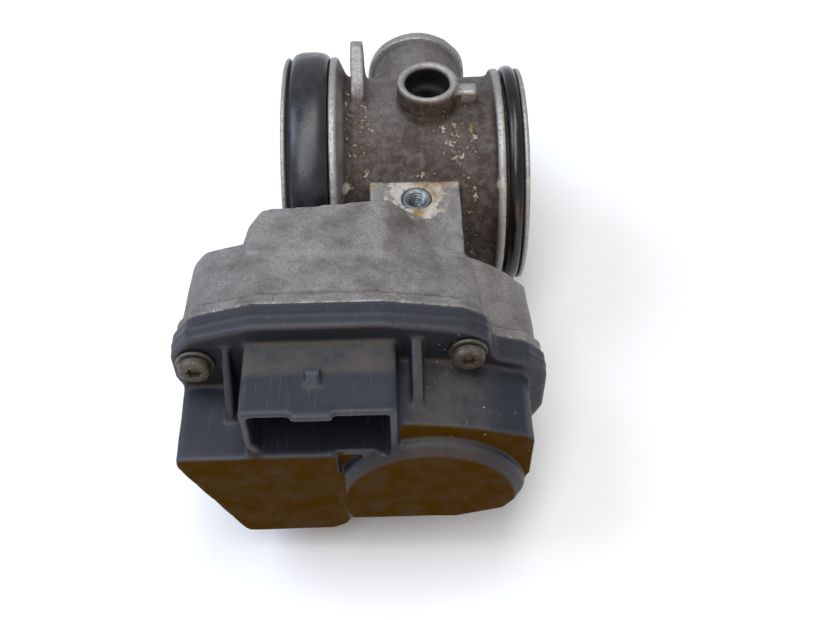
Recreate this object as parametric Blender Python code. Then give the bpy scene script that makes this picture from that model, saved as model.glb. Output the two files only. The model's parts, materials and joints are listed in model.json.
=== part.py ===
"""Electric throttle body for a car engine, modelled as the separate pieces it is assembled from.

Lengths are in millimetres and become metres when a piece is finished. The pieces are placed in the
casting's own frame: X along the air tube, Y along the throttle shaft (the gear cover is at -Y), Z up, with
the zero point where the shaft line crosses the tube. The last step stands the assembly on its lowest point.
"""

import math

import bmesh
import bpy
from mathutils import Matrix, Vector

MM = 0.001
GAP = 0.3  # clearance between two pieces that touch on the real part
REACH = 1.0  # how far a cutter passes the face that it opens
WELD = 0.002  # points closer than this are one point
FLAT_ANGLE = math.radians(0.4)  # faces closer to one plane than this are one face

# Air tube, along X
TUBE_HALF = 35.3
BORE_R = 26.5
BARREL_R = 30.0
INLET_R = 36.8  # lip and flange at the hose end
OUTLET_R = 32.4  # lip and flange at the engine end
LIP_T = 1.5
INLET_GROOVE_R = 32.6
INLET_GROOVE_W = 12.0
INLET_FLANGE_T = 2.0
INLET_MOUTH_R = 29.6
OUTLET_GROOVE_R = 29.3
OUTLET_GROOVE_W = 5.3
OUTLET_FLANGE_T = 2.0
OUTLET_MOUTH_R = 27.6
MOUTH_DEPTH = 10.0
INLET_SEAL_W = 10.9
INLET_SEAL_R = 38.6
OUTLET_SEAL_W = 4.2
OUTLET_SEAL_R = 33.4

# Throttle shaft, along Y
SHAFT_X = 5.0
SHAFT_R = 4.0
SHAFT_FRONT = -92.0
BEARING_R = 7.0
BEARING_L = 11.0
FRONT_SEAT = -34.0  # where the front bearing's seat starts
REAR_SEAT = 30.0
SHAFT_SEAL_R = 8.2
SHAFT_SEAL_L = 5.0
SHAFT_SEAL_BACK = -46.0
PLATE_T = 2.0
PLATE_GAP = 0.35
PLATE_SCREW_Y = 12.0
PLATE_SCREW_R = 1.5
PLATE_HEAD_DEPTH = 1.3

# Rear boss, ports and lugs of the casting
BOSS_RIM_R = 16.2
BOSS_ROOT_R = 9.6
BOSS_END = 51.0
BOSS_RIM_T = 4.0
BOSS_RECESS = 4.0
SHAFT_REAR = BOSS_END - 9.0
REAR_BEARING_FILL = BEARING_L / 17.0  # share of the rear seat's depth that the bearing takes
PLUG_R = 12.0
PLUG_T = 2.2
PORT_X = 6.6
PORT_R = 8.5
PORT_BORE_R = 6.4
PORT_STEP_R = 4.6
PORT_STEP_DEPTH = 7.0
PORT_TOP = 38.0
LUG_X = -13.6
LUG_T = 3.8
TAB_W = 6.8
TAB_TOP = 35.6

# Threaded mounting pad on the neck
PAD_Z = 21.5
PAD_BACK = -23.6
PAD_RIGHT = 14.8
NECK_BOTTOM = -17.0
PAD_HOLE = (2.6, -30.1)
INSERT_R = 4.0
INSERT_BORE_R = 2.9
INSERT_L = 11.0
NECK_RIB_Z = 18.0

# Gear train, in the plane across the shaft
MODULE = 0.8
PRESSURE = math.radians(25)
ADDENDUM = 0.8
DEDENDUM = 1.1
TOOTH_SLACK = 0.12  # taken off each tooth's thickness
SECTOR_TEETH = 50
SMALL_TEETH = 13
BIG_TEETH = 40
PINION_TEETH = 12
TURN = 84.0  # degrees from open to closed
SECTOR_MARGIN = 9.0
SECTOR_HUB_R = 6.6
SECTOR_T = 5.5

# Motor
MOTOR_X = -24.5
MOTOR_Z = 11.5
MOTOR_R = 16.0
MOTOR_CAP_R = 9.0
MOTOR_SHAFT_R = 1.6
BOX_WALL = 2.6
BOX_SKEW = 2.7  # how far the box's back slants away from the cover towards its right end
MOTOR_SCREW_R = 1.5
MOTOR_PLATE_T = 1.3
MOTOR_SCREW_L = 8.0
STOP_R = 1.5

# Stations along Y, from the tube towards the cover
BOX_BACK = -41.0
SHOULDER_BACK = -51.0
TRAY_FLOOR = -58.0
MOTOR_FACE = -66.0
FLANGE_BACK = -71.5
FLANGE_FACE = -74.5
SECTOR_BACK = -69.5
BIG_GEAR_BACK = -77.5
BIG_GEAR_T = 3.5
INTERMEDIATE_PIN_R = 2.0
PIN_PAST_GEAR = 3.0
PIN_DEPTH = 6.0  # how deep the fixed pin sits in the tray's floor
STOP_DEPTH = 5.0
SKIRT_FACE = -82.5
SOCKET_FLOOR = -88.0
BODY_FACE = -102.0
SOCKET_FACE = -103.5
BLOCK_FACE = -105.0
CAP_FACE = -106.3

# Gear cover
SKIRT_INSET = 0.7  # casting flange inside the cover's edge
WALL_INSET = 1.7  # casting wall inside the cover's edge
CAVITY_INSET = 4.6
DEEP_INSET = 7.6  # the deeper part of the gear space is narrower
COVER_WALL = 2.5
GASKET_EDGE = 0.9
GASKET_W = 1.0
GASKET_T = 1.2
COVER_TOP = MOTOR_Z + MOTOR_R + GAP + BOX_WALL + WALL_INSET
BLOCK_TOP = 8.0
BLOCK_BOTTOM = -30.0
BODY_BOTTOM = -22.0
CAP_CENTRE = (3.6, -13.0)
CAP_R = 25.0

# Fasteners of the cover
SCREW_R = 2.5
SCREW_HEAD_R = 4.1
SCREW_HEAD_H = 2.4
SCREW_L = 15.0
SCREW_HOLE_DEPTH = 6.5
SCREW_SOCKET_DEPTH = 1.6
WASHER_R = 4.9
WASHER_T = 0.9
SLEEVE_R = 3.3
EAR_R = 6.2
SCREW_PLACES = ((-54.7, 19.0), (13.8, 21.3), (-40.0, -35.6), (14.0, -30.5))

# Electrical connector
SOCKET_LEFT = -42.0
SOCKET_RIGHT = -4.2
SOCKET_TOP = 26.0
SOCKET_BOTTOM = 6.2
SOCKET_WALL = 2.0
PIN_COUNT = 6
PIN_W = 1.5
PIN_T = 0.8
PIN_PITCH = 5.0
PIN_REACH = 7.0  # how far a contact stands out of the socket's floor

FINISHES = {
    "cast_aluminium": ((0.31, 0.29, 0.27), 0.62, 0.75),
    "machined_steel": ((0.52, 0.52, 0.52), 0.32, 1.0),
    "zinc_steel": ((0.42, 0.41, 0.38), 0.45, 0.9),
    "brass": ((0.60, 0.42, 0.16), 0.35, 1.0),
    "seal_rubber": ((0.045, 0.046, 0.052), 0.55, 0.0),
    "gloss_rubber": ((0.012, 0.012, 0.014), 0.30, 0.0),
    "cover_plastic": ((0.040, 0.043, 0.058), 0.50, 0.0),
    "gear_plastic": ((0.70, 0.66, 0.55), 0.45, 0.0),
    "circuit_board": ((0.03, 0.16, 0.07), 0.45, 0.0),
    "magnet": ((0.10, 0.10, 0.11), 0.40, 0.6),
    "plate_brass": ((0.55, 0.46, 0.28), 0.38, 1.0),
}


# ---------------------------------------------------------------- mesh helpers


def circle(radius, centre=(0.0, 0.0), count=32, start=0.0, sweep=360.0):
    """Points of a circle or an arc, as pairs in millimetres."""
    full = sweep >= 360.0
    steps = count if full else count - 1
    angles = [math.radians(start + sweep * i / steps) for i in range(count)]
    return [(centre[0] + radius * math.cos(a), centre[1] + radius * math.sin(a)) for a in angles]


def signed_area(points):
    """Area of a closed outline, positive when it runs anticlockwise."""
    pairs = zip(points, points[1:] + points[:1])
    return 0.5 * sum(a[0] * b[1] - b[0] * a[1] for a, b in pairs)


def inset(points, distance):
    """Move each side of a convex or concave outline inwards (negative: outwards)."""
    turn = 1.0 if signed_area(points) > 0 else -1.0
    moved = []
    for before, here, after in zip(points[-1:] + points[:-1], points, points[1:] + points[:1]):
        d0 = Vector((here[0] - before[0], here[1] - before[1])).normalized()
        d1 = Vector((after[0] - here[0], after[1] - here[1])).normalized()
        n0 = Vector((-d0.y, d0.x)) * turn
        n1 = Vector((-d1.y, d1.x)) * turn
        bisector = (n0 + n1).normalized()
        step = distance / max(bisector.dot(n0), 0.35)
        moved.append((here[0] + bisector.x * step, here[1] + bisector.y * step))
    return moved


def rounded(points, radius, steps=3):
    """Replace each corner of an outline by an arc of the radius, or less where a side is short."""
    result = []
    for before, here, after in zip(points[-1:] + points[:-1], points, points[1:] + points[:1]):
        p, a, b = Vector(here), Vector(before), Vector(after)
        to_a, to_b = (a - p), (b - p)
        half = to_a.angle(to_b) / 2
        reach = min(radius / math.tan(half), to_a.length * 0.45, to_b.length * 0.45)
        start, end = p + to_a.normalized() * reach, p + to_b.normalized() * reach
        for i in range(steps + 1):
            t = i / steps
            q = start * (1 - t) ** 2 + p * (2 * t * (1 - t)) + end * t**2
            result.append((q.x, q.y))
    return result


def new_object(name, bm):
    """Turn a bmesh into an object that is still in millimetres."""
    bmesh.ops.remove_doubles(bm, verts=bm.verts, dist=0.0005)
    bmesh.ops.recalc_face_normals(bm, faces=bm.faces)
    mesh = bpy.data.meshes.new(name)
    bm.to_mesh(mesh)
    bm.free()
    obj = bpy.data.objects.new(name, mesh)
    bpy.context.scene.collection.objects.link(obj)
    return obj


def loft(name, sections):
    """A closed solid through rings of equal point count; each ring is a list of 3-D points."""
    bm = bmesh.new()
    rings = [[bm.verts.new(p) for p in ring] for ring in sections]
    for lower, upper in zip(rings, rings[1:]):
        for i in range(len(lower)):
            j = (i + 1) % len(lower)
            bm.faces.new((lower[i], lower[j], upper[j], upper[i]))
    bm.faces.new(rings[0])
    bm.faces.new(rings[-1])
    return new_object(name, bm)


def prism_y(name, outline, y0, y1):
    """Extrude an (x, z) outline between two stations along Y."""
    return loft(name, [[(x, y, z) for x, z in outline] for y in (y0, y1)])


def prism_x(name, outline, x0, x1):
    """Extrude a (y, z) outline between two stations along X."""
    return loft(name, [[(x, y, z) for y, z in outline] for x in (x0, x1)])


def block(name, low, high):
    """A box between two corners."""
    outline = [(low[0], low[2]), (high[0], low[2]), (high[0], high[2]), (low[0], high[2])]
    return prism_y(name, outline, low[1], high[1])


AXES = {"X": (Vector((1, 0, 0)), Vector((0, 1, 0)), Vector((0, 0, 1))),
        "Y": (Vector((0, 1, 0)), Vector((1, 0, 0)), Vector((0, 0, 1))),
        "Z": (Vector((0, 0, 1)), Vector((1, 0, 0)), Vector((0, 1, 0)))}


def turned(name, profile, axis="Y", centre=(0.0, 0.0, 0.0), count=40):
    """Spin a closed (station, radius) profile round an axis. A radius of 0 lies on the axis."""
    along, u, v = AXES[axis]
    middle = Vector(centre)
    bm = bmesh.new()
    rings = []
    for station, radius in profile:
        if radius < 1e-6:
            rings.append([bm.verts.new(middle + along * station)] * count)
            continue
        points = [middle + along * station + u * x + v * z for x, z in circle(radius, count=count)]
        rings.append([bm.verts.new(p) for p in points])
    for one, two in zip(rings, rings[1:] + rings[:1]):
        for i in range(count):
            j = (i + 1) % count
            corners = []
            for vert in (one[i], one[j], two[j], two[i]):
                if vert not in corners:
                    corners.append(vert)
            if len(corners) > 2:
                bm.faces.new(corners)
    return new_object(name, bm)


def rod(name, radius, start, end, axis="Y", centre=(0.0, 0.0), count=20):
    """A plain cylinder. centre gives the two coordinates across the axis, in X, Y, Z order."""
    place = {"X": (0.0, *centre), "Y": (centre[0], 0.0, centre[1]), "Z": (*centre, 0.0)}[axis]
    return turned(name, [(start, 0.0), (start, radius), (end, radius), (end, 0.0)], axis, place, count)


def ring(name, inner, outer, start, end, axis="Y", centre=(0.0, 0.0), count=24):
    """A plain sleeve."""
    place = {"X": (0.0, *centre), "Y": (centre[0], 0.0, centre[1]), "Z": (*centre, 0.0)}[axis]
    profile = [(start, inner), (start, outer), (end, outer), (end, inner)]
    return turned(name, profile, axis, place, count)


def weld(mesh):
    """Merge the near-double points that a Boolean leaves, and split its faces into triangles."""
    bm = bmesh.new()
    bm.from_mesh(mesh)
    bmesh.ops.remove_doubles(bm, verts=bm.verts, dist=WELD)
    bmesh.ops.dissolve_degenerate(bm, edges=bm.edges, dist=WELD)
    bmesh.ops.triangulate(bm, faces=bm.faces)
    bm.to_mesh(mesh)
    bm.free()


def combine(base, operation, *tools):
    """Apply Booleans to base one after another and remove the tools."""
    for tool in tools:
        modifier = base.modifiers.new(operation.title(), "BOOLEAN")
        modifier.operation = operation
        modifier.solver = "EXACT"
        modifier.object = tool
        bpy.context.view_layer.update()
        graph = bpy.context.evaluated_depsgraph_get()
        result = bpy.data.meshes.new_from_object(base.evaluated_get(graph))
        weld(result)
        old = base.data
        base.modifiers.clear()
        base.data = result
        bpy.data.meshes.remove(old)
        bpy.data.objects.remove(tool)
    return base


def add(base, *tools):
    """Join solids into one body."""
    return combine(base, "UNION", *tools)


def cut(base, *tools):
    """Take solids away from a body."""
    return combine(base, "DIFFERENCE", *tools)


def keep(base, *tools):
    """Keep only what lies inside the tools as well."""
    return combine(base, "INTERSECT", *tools)


def merge_flat_faces(mesh):
    """Join the triangles that lie in one plane, so that a flat face is one face again."""
    bm = bmesh.new()
    bm.from_mesh(mesh)
    bmesh.ops.dissolve_limit(bm, angle_limit=FLAT_ANGLE, verts=bm.verts, edges=bm.edges)
    bm.to_mesh(mesh)
    bm.free()


def finish(obj, finish_name, sharp=35.0):
    """Bring a finished piece to metres and give it its material and its shading."""
    merge_flat_faces(obj.data)
    obj.data.transform(Matrix.Scale(MM, 4))
    colour, roughness, metallic = FINISHES[finish_name]
    material = bpy.data.materials.new(f"{obj.name}_{finish_name}")
    material.use_nodes = True
    shader = material.node_tree.nodes["Principled BSDF"]
    shader.inputs["Base Color"].default_value = (*colour, 1.0)
    shader.inputs["Roughness"].default_value = roughness
    shader.inputs["Metallic"].default_value = metallic
    obj.data.materials.clear()
    obj.data.materials.append(material)
    obj.data.shade_smooth()
    obj.data.set_sharp_from_angle(angle=math.radians(sharp))
    return obj


def set_origin(obj, x, y, z):
    """Move an object's origin to a point on its joint's axis, leaving its shape in place."""
    place = Vector((x, y, z)) * MM
    obj.data.transform(Matrix.Translation(-place))
    obj.location = place
    return obj


# ---------------------------------------------------------------- derived places


def intermediate_place():
    """Centre of the intermediate gear, below the line from the motor to the shaft."""
    first = MODULE * (PINION_TEETH + BIG_TEETH) / 2
    second = MODULE * (SMALL_TEETH + SECTOR_TEETH) / 2
    motor = Vector((MOTOR_X, MOTOR_Z))
    line = Vector((SHAFT_X, 0.0)) - motor
    along = (first**2 - second**2 + line.length**2) / (2 * line.length)
    across = math.sqrt(first**2 - along**2)
    unit = line.normalized()
    return motor + unit * along + Vector((unit.y, -unit.x)) * across


def pitch_radius(teeth):
    """Radius of a gear's pitch circle."""
    return MODULE * teeth / 2


def direction(start, end):
    """Angle in degrees from one place to another."""
    return math.degrees(math.atan2(end[1] - start[1], end[0] - start[0]))


def spoke(centre, radius, angle):
    """The point at a distance and an angle in degrees from a centre."""
    turn = math.radians(angle)
    return centre + Vector((math.cos(turn), math.sin(turn))) * radius


INTERMEDIATE = intermediate_place()
SHAFT = Vector((SHAFT_X, 0.0))
MOTOR = Vector((MOTOR_X, MOTOR_Z))
MESH_ANGLE = direction(SHAFT, INTERMEDIATE) % 360


def cover_outline():
    """The cover's edge, clockwise from its top left corner, before its corners are rounded."""
    box_left = MOTOR_X - MOTOR_R + 0.5
    box_right = MOTOR_X + MOTOR_R + 1.2
    right = SHAFT_X + pitch_radius(SECTOR_TEETH) + 10.0
    left_screw, right_screw = SCREW_PLACES[0], SCREW_PLACES[1]
    left = left_screw[0] - EAR_R
    foot = BLOCK_BOTTOM - COVER_WALL
    sole = -(pitch_radius(SECTOR_TEETH) + 6.0)
    return [
        (box_left, COVER_TOP),
        (box_right, COVER_TOP),
        (right_screw[0] - 0.5, right_screw[1] + EAR_R + 1.2),
        (right_screw[0] + EAR_R - 0.8, right_screw[1] + EAR_R - 2.4),
        (right_screw[0] + EAR_R + 1.0, right_screw[1] - 4.6),
        (right - 5.0, PAD_Z - 7.6),
        (right, PAD_Z - 12.6),
        (right, -6.0),
        (right - 5.0, sole + 7.0),
        (right - 13.0, sole),
        (-16.0, sole),
        (-21.5, foot),
        (left + 16.0, foot),
        (left, 11.5),
        (left, left_screw[1] + 1.8),
        (left + 5.2, left_screw[1] + EAR_R + 2.4),
    ]


def edge(distance, radius=3.5):
    """The cover's edge moved inwards and rounded."""
    return rounded(inset(cover_outline(), distance), radius)


def ears(name, y0, y1, shrink):
    """The two lower fastening ears, as solids between two stations."""
    solids = []
    for i, (x, z) in enumerate(SCREW_PLACES[2:]):
        top = z + EAR_R + 3.0
        radius = EAR_R - shrink
        outline = circle(radius, (x, z), 13, 180.0, 180.0) + [(x + radius, top), (x - radius, top)]
        solids.append(prism_y(f"{name}_{i}", outline, y0, y1))
    return solids


def cavity(name, y0, y1, margin=CAVITY_INSET):
    """The gear space inside the cover's edge, kept clear of the screw bosses."""
    space = prism_y(name, edge(margin), y0, y1)
    radius = SLEEVE_R + 2.0 + margin - CAVITY_INSET
    posts = [rod(f"{name}_post_{i}", radius, y0 - REACH, y1 + REACH, centre=place)
             for i, place in enumerate(SCREW_PLACES)]
    return cut(space, *posts)


# ---------------------------------------------------------------- casting


def air_tube():
    """The outside of the air tube, with a grooved spigot at each end."""
    inlet = -TUBE_HALF
    groove = inlet + LIP_T
    flange = groove + INLET_GROOVE_W
    outlet = TUBE_HALF
    groove_2 = outlet - LIP_T
    flange_2 = groove_2 - OUTLET_GROOVE_W
    outer = [
        (inlet, 0.0), (inlet, INLET_R - 0.5), (inlet + 0.4, INLET_R), (groove, INLET_R),
        (groove, INLET_GROOVE_R),
        (flange, INLET_GROOVE_R), (flange, INLET_R), (flange + INLET_FLANGE_T, INLET_R),
        (flange + INLET_FLANGE_T + 2.4, BARREL_R + 1.6), (flange + INLET_FLANGE_T + 4.6, BARREL_R),
        (flange_2 - OUTLET_FLANGE_T - 1.2, BARREL_R), (flange_2 - OUTLET_FLANGE_T, OUTLET_R),
        (flange_2, OUTLET_R), (flange_2, OUTLET_GROOVE_R), (groove_2, OUTLET_GROOVE_R),
        (groove_2, OUTLET_R), (outlet - 0.4, OUTLET_R), (outlet, OUTLET_R - 0.4), (outlet, 0.0),
    ]
    return turned("throttle_housing", outer, "X", count=48)


def bore_cutter():
    """The clear way through the tube, wider at both mouths."""
    profile = [(-TUBE_HALF - REACH, 0.0), (-TUBE_HALF - REACH, INLET_MOUTH_R), (-TUBE_HALF, INLET_MOUTH_R),
               (-TUBE_HALF + MOUTH_DEPTH, BORE_R), (TUBE_HALF - 2.0, BORE_R), (TUBE_HALF, OUTLET_MOUTH_R),
               (TUBE_HALF + REACH, OUTLET_MOUTH_R), (TUBE_HALF + REACH, 0.0)]
    return turned("bore_cutter", profile, "X", count=48)


def rear_boss():
    """The round bearing boss behind the tube, with its thick rim."""
    rim = BOSS_END - BOSS_RIM_T
    profile = [(BORE_R - 4.0, 0.0), (BORE_R - 4.0, BOSS_ROOT_R), (BARREL_R - 1.0, BOSS_ROOT_R),
               (rim, BOSS_RIM_R - 1.8), (rim + 0.6, BOSS_RIM_R), (BOSS_END - 0.6, BOSS_RIM_R),
               (BOSS_END, BOSS_RIM_R - 0.6), (BOSS_END, 0.0)]
    return turned("rear_boss", profile, "Y", (SHAFT_X, 0.0, 0.0), 32)


def top_port():
    """The short round pipe on top of the tube."""
    profile = [(BORE_R - 1.0, 0.0), (BORE_R - 1.0, PORT_R + 0.7), (BARREL_R + 1.6, PORT_R),
               (PORT_TOP, PORT_R), (PORT_TOP, 0.0)]
    return turned("top_port", profile, "Z", (PORT_X, 0.0, 0.0), 28)


def port_bore():
    """The stepped hole of the top port."""
    step = PORT_TOP - PORT_STEP_DEPTH
    profile = [(BORE_R - 6.0, 0.0), (BORE_R - 6.0, PORT_STEP_R), (step, PORT_STEP_R), (step, PORT_BORE_R),
               (PORT_TOP - 0.8, PORT_BORE_R), (PORT_TOP + 0.4, PORT_BORE_R + 1.2), (PORT_TOP + 0.4, 0.0)]
    return turned("port_bore", profile, "Z", (PORT_X, 0.0, 0.0), 28)


def upright_lug():
    """The thin plate that stands on the tube beside the rear boss, and its gusset."""
    outline = rounded([(-3.5, BARREL_R - 4.0), (-2.5, BARREL_R + 0.5), (7.5, 37.5), (13.5, 41.0),
                       (18.5, 38.5), (26.0, 21.0), (24.0, 12.0), (12.0, 20.0)], 2.5)
    plate = prism_x("lug_plate", outline, LUG_X - LUG_T / 2, LUG_X + LUG_T / 2)
    web = [(LUG_X, 24.0), (LUG_X, 31.0), (SHAFT_X - 6.0, BOSS_END - 8.0), (SHAFT_X, 30.0)]
    gusset = loft("lug_gusset", [[(x, y, z) for x, y in web] for z in (6.0, 11.0)])
    return [plate, gusset]


def side_tab():
    """The small square tab beside the top port."""
    start = PORT_X + PORT_R - 1.2
    return block("side_tab", (start, -2.6, BORE_R - 2.0), (start + TAB_W, 1.6, TAB_TOP))


def neck():
    """The solid neck between tube and gear tray, whose flat top is the threaded pad."""
    left = MOTOR_X + MOTOR_R - 2.0
    outline = [(left, PAD_Z), (PAD_RIGHT, PAD_Z), (PAD_RIGHT + 1.6, NECK_BOTTOM + 6.0),
               (PAD_RIGHT - 4.0, NECK_BOTTOM), (left + 5.0, NECK_BOTTOM), (left, NECK_BOTTOM + 6.0)]
    start = -math.sqrt(BORE_R**2 - NECK_RIB_Z**2)
    body = prism_y("neck", outline, start, SHOULDER_BACK - 6.0)
    step = block("neck_step", (left - REACH, PAD_BACK, PAD_Z - 12.0), (PAD_RIGHT + 3.0, 0.0, PAD_Z + REACH))
    return cut(body, step)


def motor_box():
    """The chamfered box behind the tray that holds the motor."""
    left, right = MOTOR_X - MOTOR_R + 1.5, MOTOR_X + MOTOR_R + 3.3
    top = COVER_TOP - WALL_INSET
    bottom = MOTOR_Z - MOTOR_R - GAP - BOX_WALL
    back = [(left, top - 0.6), (right, top - 0.6), (right + 11.0, top - 10.6), (right + 11.0, bottom + 4.0),
            (right + 3.0, bottom), (left - 1.0, bottom), (left - 4.4, bottom + 7.0), (left - 4.4, top - 7.0)]
    front = [(left - 3.4, top), (right - 1.6, top), (right + 12.0, top - 8.0), (right + 12.0, bottom + 4.0),
             (right + 3.0, bottom - 1.0), (left - 3.0, bottom - 1.0), (left - 7.0, bottom + 6.0),
             (left - 7.0, top - 4.6)]
    slant = BOX_SKEW / (right - left)
    rings = [[(x, BOX_BACK + slant * (x - left), z) for x, z in rounded(back, 2.0)],
             [(x, SHOULDER_BACK - 6.0, z) for x, z in rounded(front, 2.0)]]
    return loft("motor_box", rings)


def tray_shell():
    """The outside of the gear tray, from its shoulders to the cover's edge."""
    front = inset(cover_outline(), WALL_INSET)
    back = [list(p) for p in inset(cover_outline(), WALL_INSET + 1.2)]
    right = back[6][0]
    back[2] = [SHAFT_X + 2.0, PAD_Z]
    back[3] = [PAD_RIGHT, PAD_Z - 0.3]
    back[4] = [SHAFT_X + 17.0, PAD_Z - 4.0]
    back[5] = [right - 6.0, PAD_Z - 8.0]
    stations = (SHOULDER_BACK, FLANGE_BACK + 1.0)
    rings = [[(x, y, z) for x, z in rounded(shape, 4.0)] for y, shape in zip(stations, (back, front))]
    rings.append([(x, FLANGE_FACE + 1.0, z) for x, z in rounded(front, 4.0)])
    return loft("tray_shell", rings)


def tray_flange():
    """The thin machined flange that the cover seats on."""
    plate = prism_y("tray_flange", edge(SKIRT_INSET), FLANGE_BACK, FLANGE_FACE)
    return add(plate, *ears("flange_ear", FLANGE_BACK, FLANGE_FACE, SKIRT_INSET),
               *ears("tray_ear", TRAY_FLOOR, FLANGE_BACK, WALL_INSET))


def sector_space(name, y0, y1):
    """Room for the sector to swing."""
    tip = pitch_radius(SECTOR_TEETH) + ADDENDUM * MODULE
    return rod(name, tip + 1.0, y0, y1, centre=SHAFT, count=32)


def tray_cuts():
    """Everything that is opened from the cover's side."""
    wide = cavity("tray_cavity", FLANGE_FACE - REACH, MOTOR_FACE)
    deep = cavity("deep_cavity", MOTOR_FACE - REACH, TRAY_FLOOR, DEEP_INSET)
    boss = rod("motor_boss", MOTOR_R + 3.0, MOTOR_FACE, TRAY_FLOOR + REACH, centre=MOTOR, count=32)
    nose = rod("bearing_nose", SHAFT_SEAL_R + GAP + 1.5, TRAY_FLOOR - 3.0, TRAY_FLOOR + REACH,
               centre=SHAFT, count=32)
    posts = [rod(f"motor_post_{i}", 3.6, MOTOR_FACE, TRAY_FLOOR + REACH, centre=place, count=16)
             for i, place in enumerate(motor_screw_places())]
    space = cut(add(wide, deep), boss, nose, *posts)
    can = rod("motor_bore", MOTOR_R + GAP, FLANGE_FACE - REACH, BOX_BACK - BOX_WALL, centre=MOTOR, count=32)
    seat = BEARING_R + GAP
    lip = SHAFT_SEAL_R + GAP
    front = turned("front_seat", [(FRONT_SEAT, 0.0), (FRONT_SEAT, seat), (SHAFT_SEAL_BACK, seat),
                                  (SHAFT_SEAL_BACK, lip), (FLANGE_FACE, lip), (FLANGE_FACE, 0.0)],
                   "Y", (SHAFT_X, 0.0, 0.0), 32)
    swing = sector_space("tray_swing", FLANGE_FACE - REACH, SECTOR_BACK + 1.5)
    return [space, can, front, swing]


def shaft_cuts():
    """The shaft's way through the tube walls and the rear bearing seat."""
    way = rod("shaft_way", SHAFT_R + 0.5, SHOULDER_BACK, SHAFT_REAR + 3.0, centre=SHAFT, count=32)
    step = BOSS_END - BOSS_RECESS
    rear = turned("rear_seat", [(REAR_SEAT, 0.0), (REAR_SEAT, BEARING_R + GAP), (step, BEARING_R + GAP),
                                (step, PLUG_R + GAP), (BOSS_END + REACH, PLUG_R + GAP),
                                (BOSS_END + REACH, 0.0)], "Y", (SHAFT_X, 0.0, 0.0), 32)
    return [way, rear]


def screw_holes(name, radius, start, end):
    """A hole at each cover screw."""
    return [rod(f"{name}_{i}", radius, start, end, centre=place, count=14)
            for i, place in enumerate(SCREW_PLACES)]


def small_holes():
    """Holes for the insert, the intermediate pin, the stops and the motor screws."""
    top = MOTOR_FACE - REACH
    holes = [rod("insert_hole", INSERT_R + GAP, PAD_Z - INSERT_L - 0.8, PAD_Z + REACH, "Z", PAD_HOLE, 24),
             rod("pin_hole", INTERMEDIATE_PIN_R + GAP, top, TRAY_FLOOR + PIN_DEPTH, centre=INTERMEDIATE)]
    for i, place in enumerate(stop_places()):
        holes.append(rod(f"stop_hole_{i}", STOP_R + GAP, top, TRAY_FLOOR + STOP_DEPTH, centre=place,
                         count=12))
    for i, place in enumerate(motor_screw_places()):
        holes.append(rod(f"motor_hole_{i}", MOTOR_SCREW_R + GAP, top, MOTOR_FACE + MOTOR_SCREW_L + REACH,
                         centre=place, count=12))
    return holes


def make_housing():
    """The one-piece aluminium casting."""
    body = air_tube()
    add(body, rear_boss(), top_port(), *upright_lug(), side_tab(), neck(), motor_box(), tray_shell(),
        tray_flange())
    cut(body, bore_cutter(), *tray_cuts(), *shaft_cuts(), port_bore())
    cut(body, *small_holes())
    cut(body, *screw_holes("screw_hole", SCREW_R + GAP, FLANGE_FACE - REACH, FLANGE_FACE + SCREW_HOLE_DEPTH))
    return finish(body, "cast_aluminium")


def make_spigot_seals():
    """A fat domed ring at the hose end and a slim one at the engine end."""
    start = -TUBE_HALF + LIP_T + INLET_GROOVE_W - GAP - INLET_SEAL_W
    low = INLET_GROOVE_R + GAP
    arc = [(start + INLET_SEAL_W * (0.5 - 0.5 * math.cos(math.radians(a))),
            low + (INLET_SEAL_R - low) * (0.55 + 0.45 * math.sin(math.radians(a))))
           for a in range(0, 181, 36)]
    inlet = turned("inlet_seal", [(start, low)] + arc + [(start + INLET_SEAL_W, low)], "X", count=48)
    finish(inlet, "seal_rubber", 60)
    start = TUBE_HALF - LIP_T - GAP - OUTLET_SEAL_W
    low = OUTLET_GROOVE_R + GAP
    arc = [(start + OUTLET_SEAL_W * (0.5 - 0.5 * math.cos(math.radians(a))),
            low + (OUTLET_SEAL_R - low) * (0.7 + 0.3 * math.sin(math.radians(a))))
           for a in range(0, 181, 60)]
    outlet = turned("outlet_seal", [(start, low)] + arc + [(start + OUTLET_SEAL_W, low)], "X", count=48)
    finish(outlet, "gloss_rubber", 60)
    return [inlet, outlet]


def make_thread_insert():
    """The steel insert in the mounting pad."""
    sleeve = ring("thread_insert", INSERT_BORE_R, INSERT_R, PAD_Z - INSERT_L, PAD_Z - 0.2, "Z", PAD_HOLE)
    return finish(sleeve, "machined_steel")


# ---------------------------------------------------------------- throttle


def make_throttle_shaft():
    """The steel shaft, slotted for the plate."""
    body = rod("throttle_shaft", SHAFT_R, SHAFT_FRONT, SHAFT_REAR, centre=SHAFT, count=24)
    slot = PLATE_T / 2 + GAP
    reach = BORE_R + 0.6
    cut(body, block("plate_slot", (SHAFT_X - 9.0, -reach, -slot), (SHAFT_X + 9.0, reach, slot)))
    for i, y in enumerate((-PLATE_SCREW_Y, PLATE_SCREW_Y)):
        cut(body, rod(f"shaft_screw_hole_{i}", PLATE_SCREW_R + GAP, -9.0, 9.0, "Z", (SHAFT_X, y), 16))
        cut(body, rod(f"shaft_head_seat_{i}", PLATE_SCREW_R + 1.6, SHAFT_R - PLATE_HEAD_DEPTH, 9.0, "Z",
                      (SHAFT_X, y), 16))
    finish(body, "machined_steel")
    return set_origin(body, SHAFT_X, 0.0, 0.0)


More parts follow.
